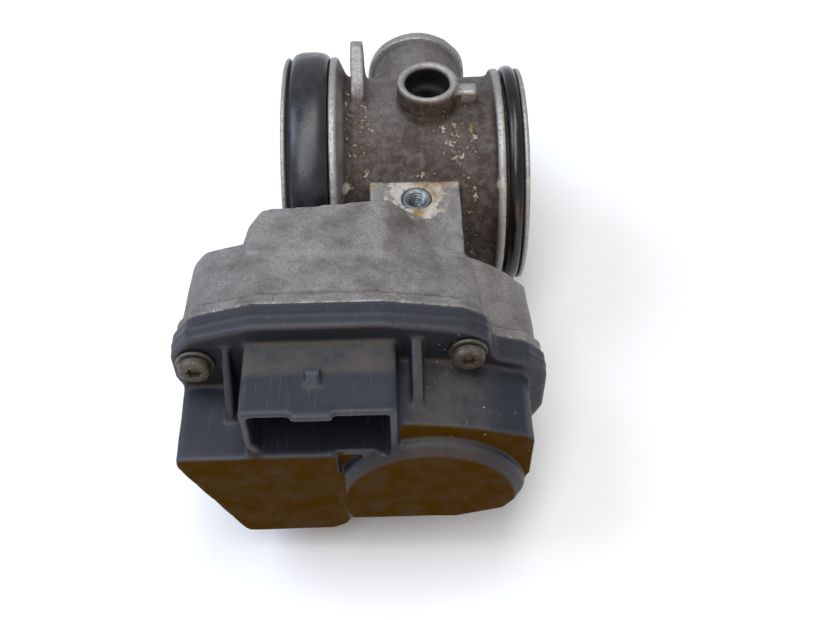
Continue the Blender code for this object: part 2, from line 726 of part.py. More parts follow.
def make_throttle_plate():
    """The round plate that closes the bore."""
    body = rod("throttle_plate", BORE_R - PLATE_GAP, -PLATE_T / 2, PLATE_T / 2, "Z", (SHAFT_X, 0.0), 64)
    for i, y in enumerate((-PLATE_SCREW_Y, PLATE_SCREW_Y)):
        cut(body, rod(f"plate_screw_hole_{i}", PLATE_SCREW_R + GAP, -9.0, 9.0, "Z", (SHAFT_X, y), 16))
    finish(body, "plate_brass")
    return set_origin(body, SHAFT_X, 0.0, 0.0)


def make_plate_screws():
    """Two small countersunk screws that hold the plate in the shaft."""
    pieces = []
    for i, y in enumerate((-PLATE_SCREW_Y, PLATE_SCREW_Y), 1):
        seat = SHAFT_R - PLATE_HEAD_DEPTH + GAP
        profile = [(-SHAFT_R + 0.4, 0.0), (-SHAFT_R + 0.4, PLATE_SCREW_R), (seat, PLATE_SCREW_R),
                   (seat, PLATE_SCREW_R + 1.2), (seat + 1.2, PLATE_SCREW_R + 1.0), (seat + 1.2, 0.0)]
        body = turned(f"plate_screw_{i}", profile, "Z", (SHAFT_X, y, 0.0), 16)
        finish(body, "zinc_steel")
        pieces.append(set_origin(body, SHAFT_X, 0.0, 0.0))
    return pieces


def make_bearings():
    """Two sleeve bearings, the lip seal in front of them and the plug that closes the rear boss."""
    inner = SHAFT_R + GAP
    first, last, lip = FRONT_SEAT - GAP, REAR_SEAT + GAP, SHAFT_SEAL_BACK - GAP
    front = ring("shaft_bearing_front", inner, BEARING_R, first - BEARING_L, first, centre=SHAFT)
    length = (BOSS_END - BOSS_RECESS - REAR_SEAT) * REAR_BEARING_FILL
    rear = ring("shaft_bearing_rear", inner, BEARING_R, last, last + length, centre=SHAFT)
    seal = ring("shaft_seal", inner, SHAFT_SEAL_R, lip - SHAFT_SEAL_L, lip, centre=SHAFT)
    start = BOSS_END - BOSS_RECESS + GAP
    dish = start + PLUG_T / 2
    plug = turned("rear_boss_plug", [(start, 0.0), (start, PLUG_R), (start + PLUG_T, PLUG_R),
                                     (start + PLUG_T, PLUG_R - 1.6), (dish, PLUG_R - 2.4), (dish, 0.0)],
                  "Y", (SHAFT_X, 0.0, 0.0), 32)
    for body, name in ((front, "brass"), (rear, "brass"), (seal, "seal_rubber"), (plug, "zinc_steel")):
        finish(body, name)
    return [front, rear, seal, plug]


# ---------------------------------------------------------------- gears


def tooth_half_angle(radius, teeth):
    """Half of a tooth's angle at a radius, for an involute flank."""
    pitch = pitch_radius(teeth)
    base = pitch * math.cos(PRESSURE)
    r = max(radius, base)
    roll = math.acos(base / r)
    involute = math.tan(roll) - roll
    at_pitch = (math.pi * MODULE / 2 - TOOTH_SLACK) / (2 * pitch)
    return at_pitch + (math.tan(PRESSURE) - PRESSURE) - involute


def tooth_points(teeth, middle):
    """Outline of one tooth round the angle of its middle, from root to root."""
    pitch = pitch_radius(teeth)
    root, tip = pitch - DEDENDUM * MODULE, pitch + ADDENDUM * MODULE
    radii = [root, pitch, tip]
    halves = [tooth_half_angle(r, teeth) for r in radii]
    rising = [(r, middle - h) for r, h in zip(radii, halves)]
    falling = [(r, middle + h) for r, h in reversed(list(zip(radii, halves)))]
    return [(r * math.cos(a), r * math.sin(a)) for r, a in rising + falling]


def gear_outline(teeth, first, count=None):
    """Outline of count teeth, the first with its middle at the angle first in degrees."""
    step = math.tau / teeth
    points = []
    for i in range(count or teeth):
        points += tooth_points(teeth, math.radians(first) + i * step)
    return points


def placed(points, centre):
    """Shift outline points to a centre."""
    return [(x + centre[0], z + centre[1]) for x, z in points]


def make_sector_gear():
    """The toothed sector on the shaft, with its long hub and the spring's seat."""
    step = 360.0 / SECTOR_TEETH
    below = math.ceil(SECTOR_MARGIN / step)
    above = math.ceil((TURN + SECTOR_MARGIN) / step)
    first = MESH_ANGLE - below * step
    teeth = gear_outline(SECTOR_TEETH, first, below + above + 1)
    web = prism_y("sector_gear", placed(teeth + [(0.0, 0.0)], SHAFT), SECTOR_BACK, SECTOR_BACK - SECTOR_T)
    hub = rod("sector_hub", SECTOR_HUB_R, SECTOR_BACK + 1.0, SHAFT_FRONT + 1.0, centre=SHAFT, count=32)
    add(web, hub)
    cut(web, rod("hub_bore", SHAFT_R + GAP, SECTOR_BACK + 3.0, SHAFT_FRONT - 3.0, centre=SHAFT, count=24))
    finish(web, "gear_plastic")
    return set_origin(web, SHAFT_X, 0.0, 0.0)


def make_sensor_magnet():
    """The ring magnet that the position sensor reads, on the end of the shaft."""
    start = SHAFT_FRONT + 1.0 - GAP
    body = ring("sensor_magnet", SHAFT_R + GAP, SECTOR_HUB_R - 1.0, start - 2.2, start, centre=SHAFT)
    finish(body, "magnet")
    return set_origin(body, SHAFT_X, 0.0, 0.0)


def make_intermediate_gear():
    """The two-step gear between motor pinion and sector."""
    small_first = MESH_ANGLE + 180.0 + 180.0 / SMALL_TEETH
    big_first = direction(INTERMEDIATE, MOTOR)
    front = BIG_GEAR_BACK - BIG_GEAR_T
    small = prism_y("intermediate_gear", placed(gear_outline(SMALL_TEETH, small_first), INTERMEDIATE),
                    BIG_GEAR_BACK - 0.5, SECTOR_BACK + 0.6)
    big = prism_y("intermediate_wheel", placed(gear_outline(BIG_TEETH, big_first), INTERMEDIATE),
                  front, BIG_GEAR_BACK)
    add(small, big)
    cut(small, rod("intermediate_bore", INTERMEDIATE_PIN_R + GAP, front - REACH, SECTOR_BACK + 3.0,
                   centre=INTERMEDIATE))
    finish(small, "gear_plastic")
    return set_origin(small, INTERMEDIATE.x, 0.0, INTERMEDIATE.y)


def make_intermediate_pin():
    """The fixed steel pin that the intermediate gear turns on."""
    front = BIG_GEAR_BACK - BIG_GEAR_T - PIN_PAST_GEAR
    body = rod("intermediate_pin", INTERMEDIATE_PIN_R, front, TRAY_FLOOR + PIN_DEPTH - GAP,
               centre=INTERMEDIATE)
    return finish(body, "machined_steel")


def stop_places():
    """The two stops of the sector: just past each end of its travel."""
    step = 360.0 / SECTOR_TEETH
    below = math.ceil(SECTOR_MARGIN / step) * step
    above = math.ceil((TURN + SECTOR_MARGIN) / step) * step
    radius = pitch_radius(SECTOR_TEETH) - 5.0
    clear = math.degrees((STOP_R + GAP) / radius) + step * 0.4
    return [spoke(SHAFT, radius, MESH_ANGLE + above + clear),
            spoke(SHAFT, radius, MESH_ANGLE - below - TURN - clear)]


def make_stops():
    """Steel pins that the sector rests against when open and when closed."""
    pieces = []
    for name, place in zip(("open_stop_pin", "closed_stop_pin"), stop_places()):
        body = rod(name, STOP_R, SECTOR_BACK - SECTOR_T + 0.5, TRAY_FLOOR + STOP_DEPTH - GAP, centre=place,
                   count=16)
        pieces.append(finish(body, "machined_steel"))
    return pieces


def make_return_spring():
    """The coil spring round the bearing nose that turns the plate open."""
    wire, radius = 0.7, SHAFT_SEAL_R + 3.3
    start, end, turns, sides, per_turn = TRAY_FLOOR - 1.4, SECTOR_BACK + 2.1, 4.0, 5, 14
    count = int(turns * per_turn)
    bm = bmesh.new()
    rings = []
    for i in range(count + 1):
        t = i / count
        a = math.tau * turns * t
        out = Vector((math.cos(a), 0.0, math.sin(a)))
        middle = Vector((SHAFT_X, start + (end - start) * t, 0.0)) + out * radius
        points = [middle + out * u + Vector((0, 1, 0)) * v for u, v in circle(wire, count=sides)]
        rings.append([bm.verts.new(p) for p in points])
    for one, two in zip(rings, rings[1:]):
        for i in range(sides):
            j = (i + 1) % sides
            bm.faces.new((one[i], one[j], two[j], two[i]))
    bm.faces.new(rings[0])
    bm.faces.new(rings[-1])
    return finish(new_object("return_spring", bm), "machined_steel", 60)


# ---------------------------------------------------------------- motor


def motor_screw_places():
    """Where the two motor screws stand, on the side away from the sector."""
    radius = MOTOR_R + 3.6
    return [spoke(MOTOR, radius, angle) for angle in (160.0, 232.0)]


def make_motor():
    """Motor can, brush cap, holding plate, shaft and pinion."""
    back = BOX_BACK - BOX_WALL - GAP
    front = MOTOR_FACE
    hole = MOTOR_SHAFT_R + 1.0
    can = turned("motor_can", [(back, 0.0), (back, MOTOR_R - 1.5), (back - 1.5, MOTOR_R), (front, MOTOR_R),
                               (front, hole), (back - 3.0, hole), (back - 3.0, 0.0)],
                 "Y", (MOTOR_X, 0.0, MOTOR_Z), 28)
    cap = ring("motor_brush_cap", hole, MOTOR_CAP_R, front - GAP - 5.5, front - GAP, centre=MOTOR)
    shaft = rod("motor_shaft", MOTOR_SHAFT_R, BIG_GEAR_BACK - BIG_GEAR_T - 2.0, back - 3.0 - GAP,
                centre=MOTOR, count=16)
    toward = direction(MOTOR, INTERMEDIATE)
    outline = placed(gear_outline(PINION_TEETH, toward + 180.0 / PINION_TEETH), MOTOR)
    pinion = prism_y("motor_pinion", outline, BIG_GEAR_BACK - BIG_GEAR_T - 1.0, BIG_GEAR_BACK + 1.0)
    cut(pinion, rod("pinion_bore", MOTOR_SHAFT_R + GAP, BIG_GEAR_BACK - 9.0, BIG_GEAR_BACK + 5.0,
                    centre=MOTOR, count=16))
    finish(can, "zinc_steel")
    finish(cap, "cover_plastic")
    finish(shaft, "machined_steel")
    finish(pinion, "brass")
    for body in (shaft, pinion):
        set_origin(body, MOTOR_X, 0.0, MOTOR_Z)
    return [can, cap, shaft, pinion, make_motor_plate(), *make_motor_screws()]


def make_motor_plate():
    """The pressed plate that clamps the motor into the casting."""
    start = MOTOR_FACE - GAP
    front = start - MOTOR_PLATE_T
    plate = ring("motor_plate", MOTOR_CAP_R + GAP, MOTOR_R - 0.4, front, start, centre=MOTOR, count=28)
    for i, place in enumerate(motor_screw_places()):
        add(plate, rod(f"plate_ear_{i}", 4.8, front, start, centre=place, count=14))
    for i, place in enumerate(motor_screw_places()):
        cut(plate, rod(f"plate_hole_{i}", MOTOR_SCREW_R + GAP, front - REACH, start + REACH, centre=place,
                       count=12))
    return finish(plate, "zinc_steel")


def make_motor_screws():
    """Two small screws through the motor plate."""
    pieces = []
    face = MOTOR_FACE - GAP - MOTOR_PLATE_T - GAP
    end = MOTOR_FACE + MOTOR_SCREW_L
    for i, (x, z) in enumerate(motor_screw_places(), 1):
        profile = [(face - 1.8, 0.0), (face - 1.8, 2.6), (face, 2.8), (face, MOTOR_SCREW_R),
                   (end, MOTOR_SCREW_R), (end, 0.0)]
        pieces.append(finish(turned(f"motor_screw_{i}", profile, "Y", (x, 0.0, z), 16), "zinc_steel"))
    return pieces


# ---------------------------------------------------------------- cover


def block_outline():
    """The deep left block of the cover, with its cut corner."""
    left = SCREW_PLACES[0][0] - EAR_R + 1.4
    return [(left, BLOCK_TOP), (-19.2, BLOCK_TOP), (-19.2, -14.0), (-16.0, BODY_BOTTOM),
            (-18.6, BLOCK_BOTTOM + 2.4), (-22.0, BLOCK_BOTTOM), (left + 13.4, BLOCK_BOTTOM), (left, 4.6)]


def body_outline():
    """The right half of the cover, under its gently arched top."""
    right = SHAFT_X + pitch_radius(SECTOR_TEETH) + 4.8
    return [(-30.0, 17.9), (-3.4, 17.7), (9.0, 16.2), (18.0, 14.0), (right - 2.0, 10.6), (right, 8.2),
            (right, -8.0), (right - 6.6, BODY_BOTTOM + 3.4), (SHAFT_X + 6.0, BODY_BOTTOM - 0.6),
            (-16.0, BODY_BOTTOM), (-30.0, BODY_BOTTOM)]


def round_cap():
    """The raised round cap in front of the shaft, cut off flush with the body's sides."""
    profile = [(BODY_FACE + 4.0, 0.0), (BODY_FACE + 4.0, CAP_R), (CAP_FACE + 2.6, CAP_R),
               (CAP_FACE + 1.6, CAP_R - 0.6), (CAP_FACE, CAP_R - 2.8), (CAP_FACE, 0.0)]
    cap = turned("round_cap", profile, "Y", (CAP_CENTRE[0], 0.0, CAP_CENTRE[1]), 40)
    return keep(cap, prism_y("cap_limit", inset(body_outline(), 0.2), CAP_FACE - REACH, BODY_FACE + 6.0))


def socket_outer():
    """The connector's shroud, tongue and latch nub."""
    left, right, low, top = SOCKET_LEFT, SOCKET_RIGHT, SOCKET_BOTTOM, SOCKET_TOP
    outline = rounded([(left, top), (right, top), (right, low), (left + 2.4, low), (left, low + 4.2)], 1.6)
    shroud = prism_y("socket_shroud", outline, SKIRT_FACE + REACH, SOCKET_FACE)
    middle = (left + right) / 2 - 1.4
    tongue = block("socket_tongue", (middle - 5.0, SOCKET_FACE - 1.4, top - SOCKET_WALL),
                   (middle + 5.0, SOCKET_FACE + 2.0, top))
    nub = [(-91.5, top - 0.5), (-91.5, top + 1.9), (-92.9, top + 1.9), (-97.0, top - 0.5)]
    latch = prism_x("socket_latch", nub, middle - 1.8, middle + 1.8)
    return add(shroud, tongue, latch)


def socket_space():
    """The hollow that the plug enters."""
    w = SOCKET_WALL
    left, right, low, top = SOCKET_LEFT + w, SOCKET_RIGHT - w, SOCKET_BOTTOM + w, SOCKET_TOP - w
    outline = [(left, top), (right, top), (right, low), (left + 2.4, low), (left, low + 3.8)]
    return prism_y("socket_space", rounded(outline, 1.0), SOCKET_FACE - 3.0, SOCKET_FLOOR)


def cover_ribs():
    """Two thin gussets from the skirt onto the body."""
    back = SKIRT_FACE + REACH
    left = prism_x("left_rib", [(back, 24.6), (SKIRT_FACE - 1.0, 24.6), (SKIRT_FACE - 11.0, BLOCK_TOP + 0.6),
                                (SKIRT_FACE - 11.0, BLOCK_TOP - 1.0), (back, BLOCK_TOP - 1.0)], -47.6, -45.4)
    right = prism_x("right_rib", [(back, 26.6), (SKIRT_FACE - 1.0, 26.6), (SKIRT_FACE - 14.0, 17.6),
                                  (SKIRT_FACE - 14.0, 15.0), (back, 15.0)], -0.6, 2.2)
    return [left, right]


def cover_hollows():
    """The spaces inside the cover, open towards the casting."""
    back = FLANGE_FACE + REACH
    wall = COVER_WALL
    gear_space = cavity("cover_cavity", SKIRT_FACE + wall, back)
    block_space = prism_y("block_space", rounded(inset(block_outline(), wall), 2.0), BLOCK_FACE + wall, back)
    body = [p for p in body_outline() if p[0] > -29.0]
    body = [(-18.5, 17.7)] + body
    body[-1] = (-16.4, BODY_BOTTOM)
    body_space = prism_y("body_space", inset(body, wall), BODY_FACE + wall, back)
    cap_space = rod("cap_space", CAP_R - wall - 3.0, CAP_FACE + wall, BODY_FACE + 4.0, centre=CAP_CENTRE,
                    count=28)
    keep(cap_space, prism_y("cap_space_limit", inset(body, wall + 0.6), CAP_FACE - REACH, back))
    socket_back = block("socket_back", (SOCKET_LEFT - 8.0, SOCKET_FLOOR + wall - 24.0, SOCKET_BOTTOM - wall),
                        (SOCKET_RIGHT + wall, SOCKET_FLOOR + wall, SOCKET_TOP + 9.0))
    hollows = [gear_space, block_space, body_space, cap_space]
    for hollow in hollows[1:3]:
        cut(hollow, copy_of(socket_back))
    bpy.data.objects.remove(socket_back)
    motor_nose = rod("motor_nose_space", MOTOR_CAP_R, SOCKET_FLOOR + wall + 0.4, back, centre=MOTOR,
                     count=24)
    wheel = pitch_radius(BIG_TEETH) + ADDENDUM * MODULE + 1.0
    wheel_space = rod("wheel_space", wheel, BIG_GEAR_BACK - BIG_GEAR_T - REACH, back, centre=INTERMEDIATE,
                      count=32)
    front = BIG_GEAR_BACK - BIG_GEAR_T - PIN_PAST_GEAR
    pin_seat = rod("pin_seat", INTERMEDIATE_PIN_R + GAP, front - GAP, back, centre=INTERMEDIATE)
    swing = sector_space("cover_swing", SECTOR_BACK - SECTOR_T - 1.0, back)
    return hollows + [motor_nose, wheel_space, pin_seat, swing]


def copy_of(obj):
    """A second object with its own copy of a mesh."""
    twin = obj.copy()
    twin.data = obj.data.copy()
    bpy.context.scene.collection.objects.link(twin)
    return twin


def pin_places():
    """Centres of the contact pins, in two rows."""
    columns = PIN_COUNT // 2
    middle = (SOCKET_LEFT + SOCKET_RIGHT) / 2
    height = (SOCKET_TOP + SOCKET_BOTTOM) / 2
    return [(middle + (c - (columns - 1) / 2) * PIN_PITCH * 1.5, height + row * 2.6)
            for row in (-1, 1) for c in range(columns)]


def gasket_groove(name, grow, depth):
    """A ring just inside the cover's edge."""
    face = FLANGE_FACE - GAP
    past = REACH if grow else 0.0
    outer = prism_y(name, edge(GASKET_EDGE - grow), face - depth, face + past)
    inner = prism_y(name + "_core", edge(GASKET_EDGE + GASKET_W + grow), face - depth - REACH,
                    face + 2.0 * REACH)
    return cut(outer, inner)


def make_cover():
    """The one-piece moulded gear cover with its connector."""
    start = FLANGE_FACE - GAP
    body = prism_y("gear_cover", edge(0.0), SKIRT_FACE, start)
    add(body, *ears("cover_ear", SKIRT_FACE, start, 0.0))
    add(body, prism_y("left_block", rounded(block_outline(), 1.8), BLOCK_FACE, SKIRT_FACE + REACH),
        prism_y("right_body", rounded(body_outline(), 1.6), BODY_FACE, SKIRT_FACE + REACH),
        round_cap(), socket_outer(), *cover_ribs())
    cut(body, *cover_hollows(), socket_space())
    cut(body, gasket_groove("gasket_groove", GAP, GASKET_T + GAP))
    cut(body, *screw_holes("sleeve_hole", SLEEVE_R + GAP, SKIRT_FACE - REACH, start + REACH))
    for i, (x, z) in enumerate(pin_places()):
        cut(body, block(f"pin_hole_{i}", (x - PIN_W / 2 - GAP, SOCKET_FLOOR - REACH, z - PIN_T / 2 - GAP),
                        (x + PIN_W / 2 + GAP, SOCKET_FLOOR + COVER_WALL + REACH, z + PIN_T / 2 + GAP)))
    return finish(body, "cover_plastic")


def make_gasket():
    """The rubber cord in the cover's groove."""
    return finish(gasket_groove("cover_gasket", 0.0, GASKET_T), "seal_rubber")


def make_cover_screws():
    """Four socket-head screws, each with a washer and a steel sleeve in the plastic."""
    pieces = []
    washer_face = SKIRT_FACE - GAP - WASHER_T
    head = washer_face - GAP
    top = head - SCREW_HEAD_H
    for i, (x, z) in enumerate(SCREW_PLACES, 1):
        sleeve = ring(f"cover_sleeve_{i}", SCREW_R + GAP, SLEEVE_R, SKIRT_FACE + 0.1, FLANGE_FACE - GAP,
                      centre=(x, z), count=12)
        washer = ring(f"cover_washer_{i}", SCREW_R + GAP, WASHER_R, washer_face, SKIRT_FACE - GAP,
                      centre=(x, z), count=20)
        profile = [(top + SCREW_SOCKET_DEPTH, 0.0), (top + SCREW_SOCKET_DEPTH, 1.9), (top, 2.2),
                   (top, SCREW_HEAD_R - 0.5), (top + 0.6, SCREW_HEAD_R), (head, SCREW_HEAD_R),
                   (head, SCREW_R), (head + SCREW_L, SCREW_R), (head + SCREW_L, 0.0)]
        screw = turned(f"cover_screw_{i}", profile, "Y", (x, 0.0, z), 16)
        pieces += [finish(sleeve, "machined_steel"), finish(washer, "zinc_steel"),
                   finish(screw, "zinc_steel")]
    return pieces


def make_pins():
    """The flat contact pins of the connector."""
    pieces = []
    for i, (x, z) in enumerate(pin_places(), 1):
        low = (x - PIN_W / 2, SOCKET_FLOOR - PIN_REACH, z - PIN_T / 2)
        high = (x + PIN_W / 2, SOCKET_FLOOR + COVER_WALL + 0.6, z + PIN_T / 2)
        pieces.append(finish(block(f"connector_pin_{i}", low, high), "brass"))
    return pieces


def make_sensor():
    """The small circuit board that reads the magnet, and its chip."""
    front = BODY_FACE + COVER_WALL + 1.2
    board = block("sensor_board", (SHAFT_X - 6.0, front, -13.0), (SHAFT_X + 17.0, front + 1.6, 7.0))
    chip = block("sensor_chip", (SHAFT_X - 3.5, front + 1.6 + GAP, -2.5),
                 (SHAFT_X + 3.5, front + 2.9 + GAP, 2.5))
    return [finish(board, "circuit_board"), finish(chip, "cover_plastic")]


# ---------------------------------------------------------------- assembly


def stand_on_base(pieces):
    """Parent the pieces to one empty, and move it so the assembly stands over the world's zero point."""
    bpy.context.view_layer.update()
    corners = [p.matrix_world @ v.co for p in pieces for v in p.data.vertices]
    low = [min(c[i] for c in corners) for i in range(3)]
    high = [max(c[i] for c in corners) for i in range(3)]
    base = bpy.data.objects.new("throttle_body", None)
    bpy.context.scene.collection.objects.link(base)
    for piece in pieces:
        piece.parent = base
    base.location = (-(low[0] + high[0]) / 2, -(low[1] + high[1]) / 2, -low[2])
    bpy.context.view_layer.update()


def main():
    """Clear the scene, make every piece and stand the assembly up."""
    for obj in list(bpy.data.objects):
        bpy.data.objects.remove(obj)
    pieces = [make_housing(), *make_spigot_seals(), make_thread_insert()]
    pieces += [make_throttle_shaft(), make_throttle_plate(), *make_plate_screws(), *make_bearings()]
    pieces += [make_sector_gear(), make_sensor_magnet(), make_intermediate_gear(), make_intermediate_pin()]
    pieces += [*make_stops(), make_return_spring(), *make_motor()]
    pieces += [make_cover(), make_gasket(), *make_cover_screws(), *make_pins(), *make_sensor()]
    stand_on_base(pieces)


main()
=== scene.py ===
import json
import logging
import math
from dataclasses import dataclass, field
from enum import Enum

import bmesh
import bpy
import numpy as np
from mathutils import Matrix, Vector

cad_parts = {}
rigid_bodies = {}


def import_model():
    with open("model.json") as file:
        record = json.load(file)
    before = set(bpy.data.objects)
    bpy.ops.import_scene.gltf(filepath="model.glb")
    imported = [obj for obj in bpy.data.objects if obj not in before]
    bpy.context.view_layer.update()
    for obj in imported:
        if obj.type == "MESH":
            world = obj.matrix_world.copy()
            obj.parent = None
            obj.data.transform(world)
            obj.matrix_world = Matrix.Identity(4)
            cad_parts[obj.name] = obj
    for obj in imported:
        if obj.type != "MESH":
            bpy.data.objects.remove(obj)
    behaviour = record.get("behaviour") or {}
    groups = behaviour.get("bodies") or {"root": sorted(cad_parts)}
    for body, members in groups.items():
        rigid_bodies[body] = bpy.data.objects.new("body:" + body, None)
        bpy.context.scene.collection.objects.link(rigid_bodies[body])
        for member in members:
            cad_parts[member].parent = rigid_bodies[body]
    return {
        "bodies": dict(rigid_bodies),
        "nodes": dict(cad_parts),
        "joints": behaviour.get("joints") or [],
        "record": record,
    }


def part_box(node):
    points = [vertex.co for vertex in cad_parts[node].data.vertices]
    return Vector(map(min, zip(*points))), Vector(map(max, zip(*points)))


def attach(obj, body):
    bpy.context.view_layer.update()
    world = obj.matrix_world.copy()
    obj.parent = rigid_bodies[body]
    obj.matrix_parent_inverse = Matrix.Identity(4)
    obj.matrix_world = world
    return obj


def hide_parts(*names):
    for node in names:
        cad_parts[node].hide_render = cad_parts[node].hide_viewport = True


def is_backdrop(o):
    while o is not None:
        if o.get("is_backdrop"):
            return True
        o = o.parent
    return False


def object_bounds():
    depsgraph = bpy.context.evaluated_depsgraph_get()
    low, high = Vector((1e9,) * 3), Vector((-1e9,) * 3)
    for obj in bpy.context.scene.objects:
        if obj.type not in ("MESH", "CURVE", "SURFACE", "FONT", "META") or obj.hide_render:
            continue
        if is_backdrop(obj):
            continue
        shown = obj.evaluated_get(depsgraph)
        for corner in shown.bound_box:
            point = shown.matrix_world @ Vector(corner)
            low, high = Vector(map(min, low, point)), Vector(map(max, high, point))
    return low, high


LOG = logging.getLogger("throttle_body")
MM = 0.001

Pair = tuple[float, float]
Profile = list[Pair]


# ---------------------------------------------------------------- colours and node graphs


def to_linear(hex_colour: str) -> tuple[float, float, float, float]:
    """Turn an sRGB hex colour into the linear values that a shader takes.

    Args:
        hex_colour: six hex digits after a hash sign.

    Returns:
        Linear red, green, blue and an alpha of one.
    """
    values = [int(hex_colour[i:i + 2], 16) / 255 for i in (1, 3, 5)]
    linear = [v / 12.92 if v <= 0.04045 else ((v + 0.055) / 1.055) ** 2.4 for v in values]
    return (linear[0], linear[1], linear[2], 1.0)


def per_metre(size_mm: float) -> float:
    """Scale of a pattern whose features are this many millimetres apart."""
    return 1.0 / (size_mm * MM)


class Graph:
    """One material's node tree, filled a node at a time."""

    def __init__(self, name: str) -> None:
        """Start an empty material round a Principled shader."""
        self.material = bpy.data.materials.new(name)
        self.material.use_nodes = True
        self.tree = self.material.node_tree
        self.shader = self.tree.nodes["Principled BSDF"]
        self.place = self.add("ShaderNodeTexCoord").node.outputs["Object"]
        self.shape = self.add("ShaderNodeNewGeometry").node.outputs

    def add(self, kind: str, links: dict | None = None, stops: list | None = None,
            **settings) -> bpy.types.NodeSocket:
        """Add one node with its settings and links.

        Args:
            kind: the node's type name.
            links: input name or number to a value or to another node's output.
            stops: position and colour pairs of a colour ramp.
            settings: the node's own attributes.

        Returns:
            The node's first output that is in use.
        """
        node = self.tree.nodes.new(kind)
        for name, value in settings.items():
            setattr(node, name, value)
        for i, (position, colour) in enumerate(stops or []):
            ramp = node.color_ramp.elements
            stop = ramp[i] if i < len(ramp) else ramp.new(position)
            stop.position = position
            stop.color = colour
        for key, value in (links or {}).items():
            if isinstance(key, int):
                socket = node.inputs[key]
            else:
                socket = next(s for s in node.inputs if s.enabled and s.name == key)
            self.feed(socket, value)
        return next(s for s in node.outputs if s.enabled)

    def noise(self, place: bpy.types.NodeSocket, size_mm: float, detail: float,
              roughness: float = 0.5) -> bpy.types.NodeSocket:
        """Make an uneven pattern whose features are about this many millimetres apart."""
        return self.add("ShaderNodeTexNoise", {"Vector": place, "Scale": per_metre(size_mm), "Detail": detail,
                                               "Roughness": roughness})

    def ranged(self, value: bpy.types.NodeSocket, start: float = 0.0, end: float = 1.0, low: float = 0.0,
               high: float = 1.0) -> bpy.types.NodeSocket:
        """Spread a value's stretch from start to end over low to high, and hold it there beyond."""
        return self.add("ShaderNodeMapRange", {"Value": value, "From Min": start, "From Max": end,
                                               "To Min": low, "To Max": high})

    def laid_over(self, share: object, under: object, over: object) -> bpy.types.NodeSocket:
        """Lay one colour over another by a share."""
        return self.add("ShaderNodeMix", {"Factor": share, "A": under, "B": over}, data_type="RGBA")

    def math(self, operation: str, one: object, two: object, clamp: bool = False) -> bpy.types.NodeSocket:
        """Join two values by one sum, held between 0 and 1 if clamped."""
        return self.add("ShaderNodeMath", {0: one, 1: two}, operation=operation, use_clamp=clamp)

    def bump(self, height: bpy.types.NodeSocket, depth_mm: float, strength: float,
             under: bpy.types.NodeSocket | None = None) -> bpy.types.NodeSocket:
        """Roughen the light's reflection by a height, on top of another bump if one is given."""
        links = {"Height": height, "Distance": depth_mm * MM, "Strength": strength}
        if under is not None:
            links["Normal"] = under
        return self.add("ShaderNodeBump", links)

    def mask(self, name: str) -> bpy.types.NodeSocket:
        """Read a value that the shape tools stored at each point."""
        return self.add("ShaderNodeAttribute", attribute_name=name).node.outputs["Fac"]

    def feed(self, socket: bpy.types.NodeSocket, value: object) -> None:
        """Link an output to a socket, or set the socket's value."""
        if isinstance(value, bpy.types.NodeSocket):
            self.tree.links.new(value, socket)
        else:
            socket.default_value = value

    def finish(self, **sockets: object) -> bpy.types.Material:
        """Feed the shader's sockets, named with underscores for spaces, and return the material."""
        for name, value in sockets.items():
            self.feed(self.shader.inputs[name.replace("_", " ")], value)
        return self.material


# ---------------------------------------------------------------- finishes


